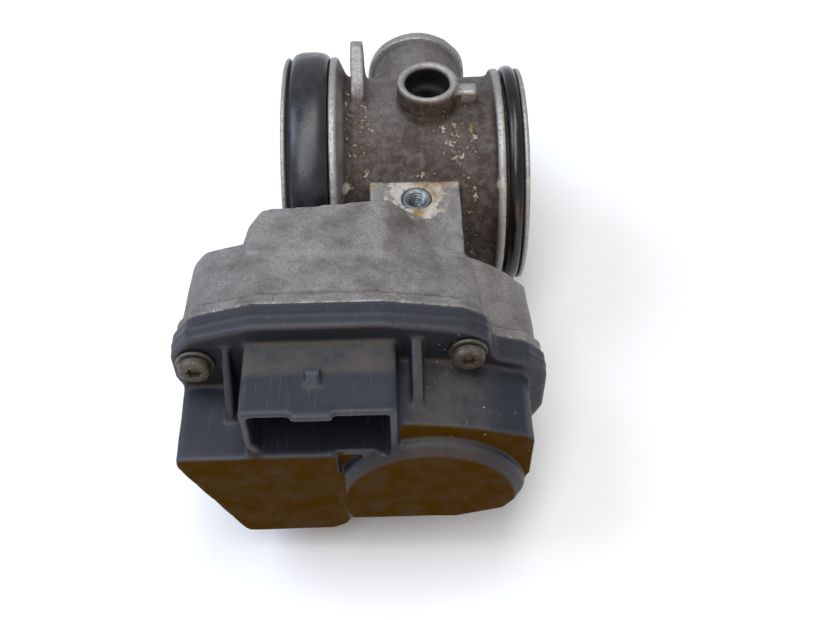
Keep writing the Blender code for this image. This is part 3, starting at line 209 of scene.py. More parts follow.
@dataclass(frozen=True)
class WeatheredCasting:
    """Die-cast aluminium after years under a bonnet.

    The as-cast skin is matt and pebbly, dull grey-beige with brown tints and dark specks. Machined faces stay
    bright, and edges are bright metal partly from wear and partly as a painted highlight. The tube holds
    brown road dirt, and pale corrosion powder with ochre in it sits round the pad. Painted shade darkens the
    concave creases, the port's outer wall, the rear side and the bores, and a painted patch of light lifts
    part of the tube's front.
    """

    skin_light: str = "#878280"
    skin_dark: str = "#5f5955"
    pit: str = "#4a443e"
    stain: str = "#5f5342"
    grime: str = "#35291f"
    soot: str = "#12100e"
    speck: str = "#2c251e"
    worn: str = "#b9b7b2"
    powder: str = "#b3aea2"
    ochre: str = "#8a6a38"
    mottle_mm: float = 7.0
    tint_mm: float = 2.4
    speck_mm: float = 0.9
    grain_mm: float = 0.42

    def material(self) -> bpy.types.Material:
        """Build the finish."""
        g = Graph("weathered_cast_aluminium")
        mottle = g.noise(g.place, self.mottle_mm, 7.0, 0.62)
        tint = g.noise(g.place, self.tint_mm, 5.0, 0.6)
        speck = g.noise(g.place, self.speck_mm, 3.0, 0.7)
        grain = g.noise(g.place, self.grain_mm, 2.0)
        pits = g.add("ShaderNodeTexVoronoi", {"Vector": g.place, "Scale": per_metre(self.speck_mm * 1.3)})
        bright = g.mask("bright")
        grimy_and_shaded = g.mask("grimy_and_shaded")
        powdery = g.mask("powdery")
        recess_shade = g.mask("recess_shade")

        colour = g.add("ShaderNodeValToRGB", {"Fac": mottle}, [
            (0.3, to_linear(self.skin_dark)), (0.58, to_linear(self.skin_light))])
        stained = g.ranged(tint, 0.52, 0.7, high=0.18)
        colour = g.laid_over(stained, colour, to_linear(self.stain))
        grained = g.ranged(grain, 0.5, 0.66, high=0.6)
        colour = g.laid_over(grained, colour, to_linear(self.pit))
        # real dirt and painted shade: this mask darkens the tube with road dirt, and the port's outer wall
        # and the rear side with painted shade
        grime_and_shade_spread = g.ranged(tint, 0.66, 0.42, low=0.6, high=1.0)
        grime_and_shade_mask = g.math("MULTIPLY", grimy_and_shaded, grime_and_shade_spread)
        colour = g.laid_over(grime_and_shade_mask, colour, to_linear(self.grime))
        # painted shade: concave creases are darkened towards the dark brown colour
        crease_shade = g.ranged(g.shape["Pointiness"], 0.492, 0.462, high=0.6)
        colour = g.laid_over(crease_shade, colour, to_linear(self.grime))
        speckled = g.ranged(speck, 0.62, 0.72, high=0.28)
        colour = g.laid_over(speckled, colour, to_linear(self.speck))
        blotch = g.add("ShaderNodeMix", {"Factor": 0.35, "A": tint, "B": speck})
        salt = g.ranged(blotch, 0.62, 0.38, low=1.0, high=0.0)
        salt_mask = g.math("SUBTRACT", powdery, salt)
        salt_mask = g.math("MULTIPLY", salt_mask, 3.0, clamp=True)
        powder = g.add("ShaderNodeValToRGB", {"Fac": mottle}, [
            (0.45, to_linear(self.powder)), (0.62, to_linear(self.ochre))])
        colour = g.laid_over(salt_mask, colour, powder)
        # edge wear and painted highlight: convex edges are lifted to bright metal
        edge = g.ranged(g.shape["Pointiness"], 0.51, 0.56, high=0.75)
        patchy = g.ranged(tint, 0.6, 0.4)
        edge = g.math("MULTIPLY", edge, patchy)
        metal = g.math("MAXIMUM", edge, bright)
        scuffed = g.ranged(speck, 0.62, 0.5, low=0.45)
        metal = g.math("MULTIPLY", metal, scuffed)
        colour = g.laid_over(metal, colour, to_linear(self.worn))
        # painted shade: the recesses are darkened to near black
        colour = g.laid_over(recess_shade, colour, to_linear(self.soot))
        metal = g.math("SUBTRACT", metal, recess_shade, clamp=True)

        metallic = g.ranged(metal, low=0.3, high=0.9)
        rough = g.ranged(mottle, 0.3, 0.7, low=0.52, high=0.72)
        rough = g.add("ShaderNodeMix", {"Factor": metal, "A": rough, "B": 0.36})
        pitted = g.ranged(pits, 0.0, 0.35)
        bump = g.bump(pitted, 0.08, 0.2)
        bump = g.bump(tint, 0.55, 0.5, bump)
        bump = g.bump(grain, 0.12, 0.55, bump)
        return g.finish(Base_Color=colour, Metallic=metallic, Roughness=rough, Normal=bump)


@dataclass(frozen=True)
class DustyNylon:
    """Glass-filled nylon from a mould, slate grey with a satin skin.

    Flat upper faces hold brown dust, the downward front faces carry a painted warm brown reflection from
    below, edges are lighter blue-grey partly from wear and partly as a painted highlight, and a few white
    nicks stand round the screws.
    """

    skin: str = "#1d2029"
    rubbed: str = "#474d59"
    dust: str = "#46413c"
    film: str = "#3c2907"
    nick: str = "#b9b7ae"
    gloss: float = 0.38
    dust_mm: float = 5.0
    patch_mm: float = 1.6
    grain_mm: float = 0.35
    scratch_mm: float = 0.5

    def material(self) -> bpy.types.Material:
        """Build the finish."""
        g = Graph("dusty_moulded_nylon")
        cloud = g.noise(g.place, self.dust_mm, 7.0, 0.65)
        patch = g.noise(g.place, self.patch_mm, 5.0, 0.65)
        grain = g.noise(g.place, self.grain_mm, 2.0)
        drawn = g.add("ShaderNodeMapping", {"Vector": g.place, "Rotation": (0.2, 0.3, 0.5),
                                               "Scale": (1.0, 0.06, 1.0)})
        scratch = g.noise(drawn, self.scratch_mm, 1.0)
        dusty = g.mask("dusty")
        warm_reflection_faces = g.mask("warm_reflection_faces")
        nicked = g.mask("nicked")

        # edge wear and painted highlight: convex edges are lifted to a lighter blue-grey
        edge = g.ranged(g.shape["Pointiness"], 0.505, 0.56, high=0.55)
        colour = g.laid_over(edge, to_linear(self.skin), to_linear(self.rubbed))
        streak = g.ranged(scratch, 0.66, 0.74, high=0.35)
        colour = g.laid_over(streak, colour, to_linear(self.rubbed))
        spread = g.ranged(cloud, 0.32, 0.62, low=0.25, high=1.0)
        dust_mask = g.math("MULTIPLY", dusty, spread)
        crevice = g.ranged(g.shape["Pointiness"], 0.49, 0.45, high=0.55)
        dust_mask = g.math("MAXIMUM", dust_mask, crevice)
        colour = g.laid_over(dust_mask, colour, to_linear(self.dust))
        # painted reflection: a warm brown tint on the front faces stands in for warm light reflected from
        # below
        reflection_spread = g.ranged(cloud, 0.3, 0.6, low=0.92)
        reflection_mask = g.math("MULTIPLY", warm_reflection_faces, reflection_spread)
        colour = g.laid_over(reflection_mask, colour, to_linear(self.film))
        nicks = g.ranged(patch, 0.66, 0.7)
        nicks = g.math("MULTIPLY", nicked, nicks)
        colour = g.laid_over(nicks, colour, to_linear(self.nick))

        rough = g.ranged(patch, 0.3, 0.7, low=0.4, high=0.52)
        rough = g.add("ShaderNodeMix", {"Factor": dust_mask, "A": rough, "B": 0.78})
        bump = g.bump(patch, 0.16, 0.35)
        bump = g.bump(grain, 0.06, 0.4, bump)
        gloss = g.ranged(reflection_mask, low=self.gloss, high=0.0)
        return g.finish(Base_Color=colour, Roughness=rough, Normal=bump, Specular_IOR_Level=gloss)


@dataclass(frozen=True)
class MouldedRubber:
    """Nitrile rubber ring, moulded and stretched into its groove.

    The fat ring is dry and grey with dust in its pores; the slim one is wet with oil and mirrors the light.
    """

    name: str
    skin: str
    bloom: str
    roughness: float
    bloom_share: float
    pore_mm: float = 0.5
    smear_mm: float = 5.0

    def material(self) -> bpy.types.Material:
        """Build the finish."""
        g = Graph(self.name)
        smear = g.noise(g.place, self.smear_mm, 6.0, 0.6)
        pore = g.noise(g.place, self.pore_mm, 3.0)
        mask = g.ranged(smear, 0.45, 0.7, high=self.bloom_share)
        colour = g.laid_over(mask, to_linear(self.skin), to_linear(self.bloom))
        rough = g.ranged(smear, 0.35, 0.7, low=self.roughness, high=self.roughness + 0.18)
        bump = g.bump(pore, 0.07, 0.4)
        bump = g.bump(smear, 0.5, 0.25, bump)
        return g.finish(Base_Color=colour, Roughness=rough, Normal=bump)


@dataclass(frozen=True)
class WornMetal:
    """A turned, stamped or plated metal piece with its own tarnish.

    The clean metal shows between patches of tarnish or rust, and fine tool marks break the gloss.
    """

    name: str
    clean: str
    tarnish: str
    roughness: float
    tarnish_share: float
    patch_mm: float = 2.2
    mark_mm: float = 0.3

    def material(self) -> bpy.types.Material:
        """Build the finish."""
        g = Graph(self.name)
        patch = g.noise(g.place, self.patch_mm, 6.0, 0.65)
        mark = g.noise(g.place, self.mark_mm, 2.0)
        mask = g.ranged(patch, 0.4, 0.62, high=self.tarnish_share)
        colour = g.laid_over(mask, to_linear(self.clean), to_linear(self.tarnish))
        metallic = g.ranged(mask, low=0.95, high=0.35)
        rough = g.ranged(patch, 0.35, 0.65, low=self.roughness, high=self.roughness + 0.25)
        bump = g.bump(patch, 0.12, 0.3)
        bump = g.bump(mark, 0.04, 0.35, bump)
        return g.finish(Base_Color=colour, Metallic=metallic, Roughness=rough, Normal=bump)


@dataclass(frozen=True)
class MouldedPlastic:
    """A plain moulded plastic: natural acetal for the gears, lacquered laminate for the board.

    Light shade changes follow the flow in the mould, with a fine satin grain.
    """

    name: str
    light: str
    dark: str
    roughness: float
    flow_mm: float = 6.0
    grain_mm: float = 0.3

    def material(self) -> bpy.types.Material:
        """Build the finish."""
        g = Graph(self.name)
        flow = g.noise(g.place, self.flow_mm, 5.0)
        grain = g.noise(g.place, self.grain_mm, 2.0)
        colour = g.add("ShaderNodeValToRGB", {"Fac": flow}, [
            (0.35, to_linear(self.dark)), (0.65, to_linear(self.light))])
        rough = g.ranged(flow, low=self.roughness, high=self.roughness + 0.15)
        bump = g.bump(grain, 0.05, 0.35)
        return g.finish(Base_Color=colour, Roughness=rough, Normal=bump)


@dataclass(frozen=True)
class PaperSweep:
    """The matt white paper that the part stands on."""

    tone: str = "#f4f4f3"

    def material(self) -> bpy.types.Material:
        """Build the finish."""
        g = Graph("white_paper")
        return g.finish(Base_Color=to_linear(self.tone), Roughness=0.9)


class Slot(Enum):
    """The record's material slots, each with the finish that it gets."""

    CAST_ALUMINIUM = WeatheredCasting()
    COVER_PLASTIC = DustyNylon()
    SEAL_RUBBER = MouldedRubber("dry_nitrile_rubber", "#17181c", "#303137", 0.24, 0.5)
    GLOSS_RUBBER = MouldedRubber("oily_nitrile_rubber", "#08080a", "#14120f", 0.16, 0.6)
    ZINC_STEEL = WornMetal("dull_zinc_plate", "#6b675f", "#3f382f", 0.42, 0.9)
    MACHINED_STEEL = WornMetal("turned_steel", "#8c9092", "#4b4f4c", 0.3, 0.5)
    BEARING_BRASS = WornMetal("sintered_bronze", "#b08a4c", "#6d5228", 0.4, 0.5)
    CONTACT_BRASS = WornMetal("tinned_contact_brass", "#b9a26a", "#7b6536", 0.28, 0.4)
    PLATE_BRASS = WornMetal("stained_brass_sheet", "#a5905e", "#4a3b25", 0.34, 0.7, patch_mm=4.0)
    GEAR_PLASTIC = MouldedPlastic("natural_acetal", "#d9d2bd", "#c4bb9f", 0.35)
    CIRCUIT_BOARD = MouldedPlastic("lacquered_laminate", "#1f6b3c", "#164d2b", 0.25)
    MAGNET = WornMetal("sintered_magnet", "#55565a", "#2d2b2a", 0.4, 0.5)


class Wardrobe:
    """Builds each slot's material once and puts it on pieces."""

    def __init__(self) -> None:
        """Start with nothing built."""
        self.materials: dict[Slot, bpy.types.Material] = {}

    def dress(self, obj: bpy.types.Object, slot: Slot) -> None:
        """Give a piece, new or from the frame, one slot's finish."""
        if slot not in self.materials:
            self.materials[slot] = slot.value.material()
        if obj.material_slots:
            for place in obj.material_slots:
                place.material = self.materials[slot]
        else:
            obj.data.materials.append(self.materials[slot])


# ---------------------------------------------------------------- shape tools


@dataclass(frozen=True)
class Layout:
    """Where the casting's own zero point lies: the crossing of the shaft line and the air tube."""

    origin: Vector

    def local(self, points: np.ndarray) -> np.ndarray:
        """World points in metres to the casting's millimetres."""
        return (points - np.array(self.origin)) / MM

    def world(self, points: np.ndarray) -> np.ndarray:
        """The casting's millimetres to world points in metres."""
        return points * MM + np.array(self.origin)


def fade(values: np.ndarray, start: float, end: float) -> np.ndarray:
    """0 at start, 1 at end, smooth between and flat outside."""
    t = np.clip((values - start) / (end - start), 0.0, 1.0)
    return t * t * (3.0 - 2.0 * t)


def get_points(obj: bpy.types.Object) -> np.ndarray:
    """A mesh object's points as rows of x, y, z."""
    points = np.empty(len(obj.data.vertices) * 3, np.float32)
    obj.data.vertices.foreach_get("co", points)
    return points.reshape(-1, 3).astype(float)


def set_points(obj: bpy.types.Object, points: np.ndarray) -> None:
    """Move a mesh object's points."""
    obj.data.vertices.foreach_set("co", points.astype(np.float32).ravel())
    obj.data.update()


def get_normals(obj: bpy.types.Object) -> np.ndarray:
    """A mesh object's point normals."""
    normals = np.empty(len(obj.data.vertices) * 3, np.float32)
    obj.data.vertex_normals.foreach_get("vector", normals)
    return normals.reshape(-1, 3).astype(float)


def set_mask(obj: bpy.types.Object, name: str, values: np.ndarray) -> None:
    """Store one value from 0 to 1 for each point, which a finish reads by name."""
    mask = obj.data.attributes.new(name, "FLOAT", "POINT")
    mask.data.foreach_set("value", np.clip(values, 0.0, 1.0).astype(np.float32))


def remeshed(node: bpy.types.Object, name: str, voxel_mm: float) -> bpy.types.Object:
    """A new piece with a CAD node's shape as an even skin of small faces.

    Args:
        node: the CAD node, which stays as it is.
        name: the new piece's name.
        voxel_mm: the faces' size.

    Returns:
        The new piece.
    """
    draft = bpy.data.objects.new(name, node.data.copy())
    bpy.context.scene.collection.objects.link(draft)
    skin = draft.modifiers.new("even_skin", "REMESH")
    skin.mode = "VOXEL"
    skin.voxel_size = voxel_mm * MM
    graph = bpy.context.evaluated_depsgraph_get()
    mesh = bpy.data.meshes.new_from_object(draft.evaluated_get(graph))
    draft.modifiers.clear()
    draft.data = mesh
    mesh.name = name
    mesh.materials.clear()
    mesh.shade_smooth()
    return draft


def relaxed(obj: bpy.types.Object, points: np.ndarray, share: np.ndarray, steps: int) -> np.ndarray:
    """Pull points towards their neighbours' middle, which rounds edges and fills corners.

    Args:
        obj: the piece whose edges join the points.
        points: the points to move.
        share: how far each point takes part, from 0 to 1.
        steps: how often they move.

    Returns:
        The moved points.
    """
    edges = np.empty(len(obj.data.edges) * 2, np.int64)
    obj.data.edges.foreach_get("vertices", edges)
    one, two = edges.reshape(-1, 2).T
    count = len(points)
    joined = np.maximum(np.bincount(one, minlength=count) + np.bincount(two, minlength=count), 1)
    pull = 0.5 * share
    for _ in range(steps):
        moved = np.empty_like(points)
        for axis in range(3):
            total = np.bincount(one, points[two, axis], count) + np.bincount(two, points[one, axis], count)
            moved[:, axis] = points[:, axis] + pull * (total / joined - points[:, axis])
        points = moved
    return points


def true_round(points: np.ndarray, across: tuple[int, int], centre: Pair, sides: int,
               share: np.ndarray) -> np.ndarray:
    """Push a faceted round out to the circle through its corners.

    Args:
        points: points in the casting's millimetres.
        across: the two axes across the round's own axis.
        centre: the round's middle on those two axes.
        sides: how many flats the round has.
        share: how far each point takes part, from 0 to 1.

    Returns:
        The moved points.
    """
    u, v = points[:, across[0]] - centre[0], points[:, across[1]] - centre[1]
    step = math.tau / sides
    off = np.arctan2(v, u) % step - step / 2
    grow = 1.0 + share * (np.cos(off) / math.cos(step / 2) - 1.0)
    moved = points.copy()
    moved[:, across[0]] = centre[0] + u * grow
    moved[:, across[1]] = centre[1] + v * grow
    return moved


def lumps(points: np.ndarray, size_mm: float, seed: int) -> np.ndarray:
    """A smooth uneven height between about -1 and 1 over the points, made of a few crossing waves."""
    random = np.random.default_rng(seed)
    waves = 14
    direction = random.normal(size=(waves, 3))
    direction /= np.linalg.norm(direction, axis=1)[:, None]
    pace = math.tau / size_mm * random.uniform(0.6, 1.5, waves)
    phase = random.uniform(0.0, math.tau, waves)
    return np.sin(points @ (direction * pace[:, None]).T + phase).sum(axis=1) / math.sqrt(waves)


def filleted(corners: Profile, radius: float, steps: int = 4) -> Profile:
    """Round each corner of a closed profile, by less where a side is short."""
    result: Profile = []
    for before, here, after in zip(corners[-1:] + corners[:-1], corners, corners[1:] + corners[:1]):
        p, a, b = Vector(here), Vector(before), Vector(after)
        to_a, to_b = a - p, b - p
        if here[1] < 1e-6 or abs(to_a.angle(to_b) - math.pi) < 0.02:
            result.append(here)
            continue
        reach = min(radius / math.tan(to_a.angle(to_b) / 2), to_a.length * 0.45, to_b.length * 0.45)
        start, end = p + to_a.normalized() * reach, p + to_b.normalized() * reach
        for i in range(steps + 1):
            t = i / steps
            q = start * (1 - t) ** 2 + p * (2 * t * (1 - t)) + end * t * t
            result.append((q.x, q.y))
    return result


class Axis(Enum):
    """A turning axis: the direction along it and the two across it."""

    X = (Vector((1, 0, 0)), Vector((0, 1, 0)), Vector((0, 0, 1)))
    Y = (Vector((0, 1, 0)), Vector((0, 0, 1)), Vector((1, 0, 0)))
    Z = (Vector((0, 0, 1)), Vector((1, 0, 0)), Vector((0, 1, 0)))


def object_from(name: str, bm: bmesh.types.BMesh) -> bpy.types.Object:
    """Turn a mesh built in metres into a smooth-shaded object."""
    bmesh.ops.remove_doubles(bm, verts=bm.verts, dist=1e-7)
    bmesh.ops.recalc_face_normals(bm, faces=bm.faces)
    mesh = bpy.data.meshes.new(name)
    bm.to_mesh(mesh)
    bm.free()
    mesh.shade_smooth()
    mesh.set_sharp_from_angle(angle=math.radians(38))
    obj = bpy.data.objects.new(name, mesh)
    bpy.context.scene.collection.objects.link(obj)
    return obj


def spun(name: str, profile: Profile, axis: Axis, centre: Vector, sides: int = 96) -> bpy.types.Object:
    """Turn a closed profile round an axis.

    Args:
        name: the piece's name.
        profile: pairs of station along the axis and radius, in millimetres from the centre.
        axis: the turning axis.
        centre: the profile's zero point, in metres.
        sides: steps round the axis.

    Returns:
        The turned piece.
    """
    along, u, v = axis.value
    bm = bmesh.new()
    rings = []
    for station, radius in profile:
        middle = centre + along * station * MM
        if radius < 1e-6:
            rings.append([bm.verts.new(middle)] * sides)
            continue
        turns = [math.tau * i / sides for i in range(sides)]
        rings.append([bm.verts.new(middle + (u * math.cos(a) + v * math.sin(a)) * radius * MM)
                      for a in turns])
    for one, two in zip(rings, rings[1:] + rings[:1]):
        for i in range(sides):
            j = (i + 1) % sides
            corners = list(dict.fromkeys((one[i], one[j], two[j], two[i])))
            if len(corners) > 2:
                bm.faces.new(corners)
    return object_from(name, bm)


# ---------------------------------------------------------------- sub-assemblies


@dataclass
class Casting:
    """The one-piece aluminium housing with its soft cast edges and machined faces."""

    layout: Layout
    voxel: float = 0.55
    steps: int = 12
    inlet_flange: float = -17.0
    outlet_flange: float = 26.0
    tube_reach: float = 38.9
    bore: float = 29.9
    shaft_x: float = 5.0
    port_x: float = 6.6
    box_back: float = -41.5
    pad_top: float = 21.5
    insert: Pair = (2.6, -30.1)
    lump_height: float = 0.11
    lump_size: float = 11.0
    sides: dict[str, int] = field(default_factory=lambda: {"tube": 48, "boss": 32, "port": 28})

    def build(self, node: bpy.types.Object) -> bpy.types.Object:
        """Make the casting's skin from the CAD node's shape."""
        piece = remeshed(node, "housing_casting", self.voxel)
        p = self.layout.local(get_points(piece))
        p = self.rounds(p)
        p = relaxed(piece, p, self.softness(p), self.steps)
        set_points(piece, self.layout.world(p))
        rough = self.rough_skin(p)
        p = p + get_normals(piece) * (lumps(p, self.lump_size, 5) * self.lump_height * rough)[:, None]
        set_points(piece, self.layout.world(p))
        self.mark(piece, p)
        return piece

    def rounds(self, p: np.ndarray) -> np.ndarray:
        """Make the tube, the rear boss and the top port truly round."""
        tube = fade(np.hypot(p[:, 1], p[:, 2]), self.tube_reach + 2, self.tube_reach) * (np.abs(p[:, 0]) < 37)
        p = true_round(p, (1, 2), (0.0, 0.0), self.sides["tube"], tube)
        boss = fade(p[:, 1], 31.0, 33.5) * (np.hypot(p[:, 0] - self.shaft_x, p[:, 2]) < 17.5)
        p = true_round(p, (0, 2), (self.shaft_x, 0.0), self.sides["boss"], boss)
        port = fade(p[:, 2], 30.5, 31.5) * (np.hypot(p[:, 0] - self.port_x, p[:, 1]) < 9.5)
        return true_round(p, (0, 1), (self.port_x, 0.0), self.sides["port"], port)

    def on_spigot(self, p: np.ndarray) -> np.ndarray:
        """Where the turned lips, grooves and flanges are."""
        radius = np.hypot(p[:, 1], p[:, 2])
        ends = np.maximum(fade(p[:, 0], self.inlet_flange + 2.5, self.inlet_flange),
                          fade(p[:, 0], self.outlet_flange - 0.6, self.outlet_flange))
        return ends * (radius < self.tube_reach)

    def inside(self, p: np.ndarray) -> np.ndarray:
        """Where the air bore and the gear case's inside are."""
        radius = np.hypot(p[:, 1], p[:, 2])
        bore = fade(radius, self.bore, self.bore - 1.0)
        motor = (np.hypot(p[:, 0] + 24.5, p[:, 2] - 11.5) < 17.2) & (p[:, 1] < self.box_back)
        return np.maximum(bore, motor)

    def softness(self, p: np.ndarray) -> np.ndarray:
        """How far each point takes part in the rounding: full on cast corners, little on machined ones."""
        share = np.ones(len(p))
        fine = self.on_spigot(p)
        fine = np.maximum(fine, self.inside(p))
        fine = np.maximum(fine, fade(p[:, 2], 31.8, 33.0) * (p[:, 1] > -12))
        fine = np.maximum(fine, fade(p[:, 1], 43.5, 45.0))
        fine = np.maximum(fine, fade(p[:, 1], -69.0, -71.0))
        pad = fade(p[:, 2], self.pad_top - 1.0, self.pad_top - 0.3) * (p[:, 1] > -44) * (p[:, 1] < -22)
        fine = np.maximum(fine, pad)
        return share - 0.86 * fine

    def rough_skin(self, p: np.ndarray) -> np.ndarray:
        """Where the as-cast skin is uneven."""
        machined = np.maximum(self.on_spigot(p), self.inside(p))
        machined = np.maximum(machined, fade(p[:, 1], -69.0, -71.0))
        return 1.0 - machined

    def mark(self, piece: bpy.types.Object, p: np.ndarray) -> None:
        """Store where the metal is bright, dirty or powdery, and where painted shade lies on the port wall,
        the rear side and the bores and painted light on the tube's front.
        """
        x, y, z = p.T
        normal = get_normals(piece)
        radius = np.hypot(y, z)
        lips = self.on_spigot(p) * fade(np.abs(x - 4.2), 29.0, 37.0) * 0.62
        rims = self.on_spigot(p) * fade(radius, 31.5, 32.2) * (x > 20) + self.on_spigot(p) * fade(
            radius, 36.0, 36.6) * (x < 0)
        port_r = np.hypot(x - self.port_x, y)
        port_rim = fade(z, 37.2, 37.8) * (port_r < 9.0)
        tab_top = fade(z, 34.4, 35.3) * (x > 13) * (np.abs(y) < 4)
        lug_edge = fade(np.abs(x + 13.6), 2.3, 1.7) * fade(radius, 33.0, 36.0) * (z > 8) * (y > 2) * fade(
            np.abs(normal[:, 0]), 0.75, 0.4)
        rim_face = fade(y, 46.4, 47.2) * fade(np.hypot(x - self.shaft_x, z), 14.4, 15.6) * 0.55
        bright = np.maximum.reduce([lips, rims * 0.6, port_rim * 0.42, tab_top * 0.6,
                                    lug_edge * 0.4, rim_face])
        set_mask(piece, "bright", bright)
        barrel = fade(radius, 33.5, 31.5) * fade(radius, 28.0, 29.5) * (x > -21) * (x < 27)
        barrel *= 0.8 + 0.2 * fade(y, 14.0, -12.0)
        # painted light: a lighter patch on the tube's front, left of the port, is made by taking dirt away
        barrel *= 1.0 - 0.45 * fade(np.abs(x + 6.5), 8.0, 1.0) * fade(y, -20.0, 2.0)
        gusset = fade(np.abs(x + 9.0), 8.0, 4.0) * fade(y, 22.0, 30.0) * 0.7
        # painted shadow: the port's outer wall is darkened
        port_wall_shade = fade(z, 30.0, 32.0) * fade(z, 37.4, 36.2) * (port_r < 10.0)
        # painted shade: the whole rear side is darkened
        rear_side_shade = fade(y, 27.0, 33.0) * 0.45
        bore = self.inside(p) * (radius < 30.0) * 0.8
        tray = fade(x, -34.0, -56.0) * fade(y, -52.0, -64.0) * 0.25
        set_mask(piece, "grimy_and_shaded", np.maximum.reduce([barrel, gusset, port_wall_shade, rear_side_shade, bore, tray]))
        # painted shade: the port's bore and the air bore are darkened to near black
        port_bore = fade(port_r, 6.9, 6.3) * fade(z, 37.9, 36.6) * (z > 24.0)
        set_mask(piece, "recess_shade", np.maximum(port_bore, self.inside(p) * (radius < 29.0) * 0.55))
        from_insert = np.hypot(x - self.insert[0], y - self.insert[1])
        round_insert = fade(from_insert, 12.5, 5.0) * fade(z, self.pad_top - 1.2, self.pad_top - 0.4)
        patch = fade(np.hypot(x - 13.0, y + 12.0), 9.0, 2.0) * fade(z, 22.0, 24.0) * 0.42
        pad_edge = fade(np.abs(y + 25.0), 3.0, 0.5) * fade(np.abs(z - 20.5), 2.5, 0.5) * 0.9
        flecks = fade(x, -4.0, -12.0) * fade(x, -22.0, -18.0) * fade(y, 16.0, 4.0) * fade(radius, 32.0, 31.5)
        flecks *= (radius > 29.0) * (y > -24.0) * 0.26
        streak = fade(np.abs(x - 18.0), 4.0, 1.0) * fade(y, 6.0, -6.0) * (radius > 29.0)
        streak = streak * (radius < 34.0) * 0.31
        set_mask(piece, "powdery", np.maximum.reduce([round_insert, patch, pad_edge, flecks, streak]))


@dataclass
class GearCover:
    """The moulded cover with its skirt, blocks, plug socket and ribs."""

    layout: Layout
    voxel: float = 0.5
    steps: int = 12
    skirt_face: float = -82.5
    socket_left: float = -42.0
    socket_right: float = -4.2
    socket_top: float = 26.0
    cap_centre: Pair = (3.6, -13.0)
    cap_sides: int = 40
    screw: Pair = (13.8, 21.3)

    def build(self, node: bpy.types.Object) -> bpy.types.Object:
        """Make the cover's skin from the CAD node's shape."""
        piece = remeshed(node, "gear_cover_moulding", self.voxel)
        p = self.layout.local(get_points(piece))
        cap = (p[:, 1] < -102.3).astype(float)
        p = true_round(p, (0, 2), self.cap_centre, self.cap_sides, cap)
        p = relaxed(piece, p, self.softness(p), self.steps)
        set_points(piece, self.layout.world(p))
        normal = get_normals(piece)
        p = p + normal * self.relief(p, normal)[:, None]
        set_points(piece, self.layout.world(p))
        self.mark(piece, p)
        return piece

    def softness(self, p: np.ndarray) -> np.ndarray:
        """How far each point takes part in the rounding: most on the left block's front edge."""
        block = fade(p[:, 1], -98.0, -101.0) * fade(p[:, 0], -18.0, -22.0) * fade(p[:, 2], 0.0, 3.0)
        shoulder = fade(p[:, 1], -78.0, -81.0) * fade(p[:, 1], -85.0, -83.5) * 0.4
        return np.clip(0.3 + 0.7 * np.maximum(block, shoulder), 0.0, 1.0)

    def relief(self, p: np.ndarray, normal: np.ndarray) -> np.ndarray:
        """Height in millimetres of the parting line on the skirt and the faint ridges on the socket."""
        x, y, z = p.T
        side = fade(np.abs(normal[:, 1]), 0.5, 0.2)
        parting = 0.16 * fade(np.abs(y + 78.6), 0.8, 0.3) * side
        top = (z > self.socket_top - 0.8) & (y < self.skirt_face - 2) & (normal[:, 2] > 0.7)
        ridges = sum(fade(np.abs(x - at), 0.8, 0.3) for at in (-30.5, -15.0))
        ridges = ridges * 0.14 * top * fade(y, -92.0, -94.0)
        return parting + ridges + 0.05 * lumps(p, 16.0, 9)

    def mark(self, piece: bpy.types.Object, p: np.ndarray) -> None:
        """Store where the plastic is dusty or nicked, and where the front faces get the painted warm
        reflection.
        """
        x, y, z = p.T
        normal = get_normals(piece)
        up = fade(normal[:, 2], 0.2, 0.8)
        on_socket = (x > self.socket_left - 0.5) * (x < self.socket_right + 0.5) * (z > self.socket_top - 1.5)
        rear = on_socket * fade(y, -93.5, -90.5) * (y < self.skirt_face + 0.5)
        right_top = fade(x, -3.0, 0.0) * fade(x, 24.0, 13.0) * (y < self.skirt_face)
        left_top = fade(x, -44.0, -46.0) * (y < self.skirt_face) * 0.12
        skirt = (y > self.skirt_face - 0.5) * 0.16
        set_mask(piece, "dusty", up * np.maximum.reduce([rear, right_top * 0.75, left_top, skirt]))
        # painted reflection: the front faces turned towards -Y are tinted warm brown for the light reflected
        # from below
        front = fade(-normal[:, 1], 0.55, 0.85) * (y < -95.0) * (z < 9.0)
        low = front + fade(-normal[:, 1], 0.5, 0.9) * (y < -95.0) * (z < 18.5) * (x > -4.0)
        cap_edge = fade(np.hypot(x - self.cap_centre[0], z - self.cap_centre[1]), 21.8, 22.8)
        cap_edge = cap_edge * (y < -102.6) * (x > -18.0)
        set_mask(piece, "warm_reflection_faces", np.clip(low, 0, 1) * (1.0 - 0.85 * cap_edge))
        near = np.hypot(x - self.screw[0], z - self.screw[1])
        nicked = np.maximum(fade(near, 14.0, 5.0) * 0.9, fade(x, 14.0, 30.0) * 0.35)
        set_mask(piece, "nicked", nicked * (y < -76))


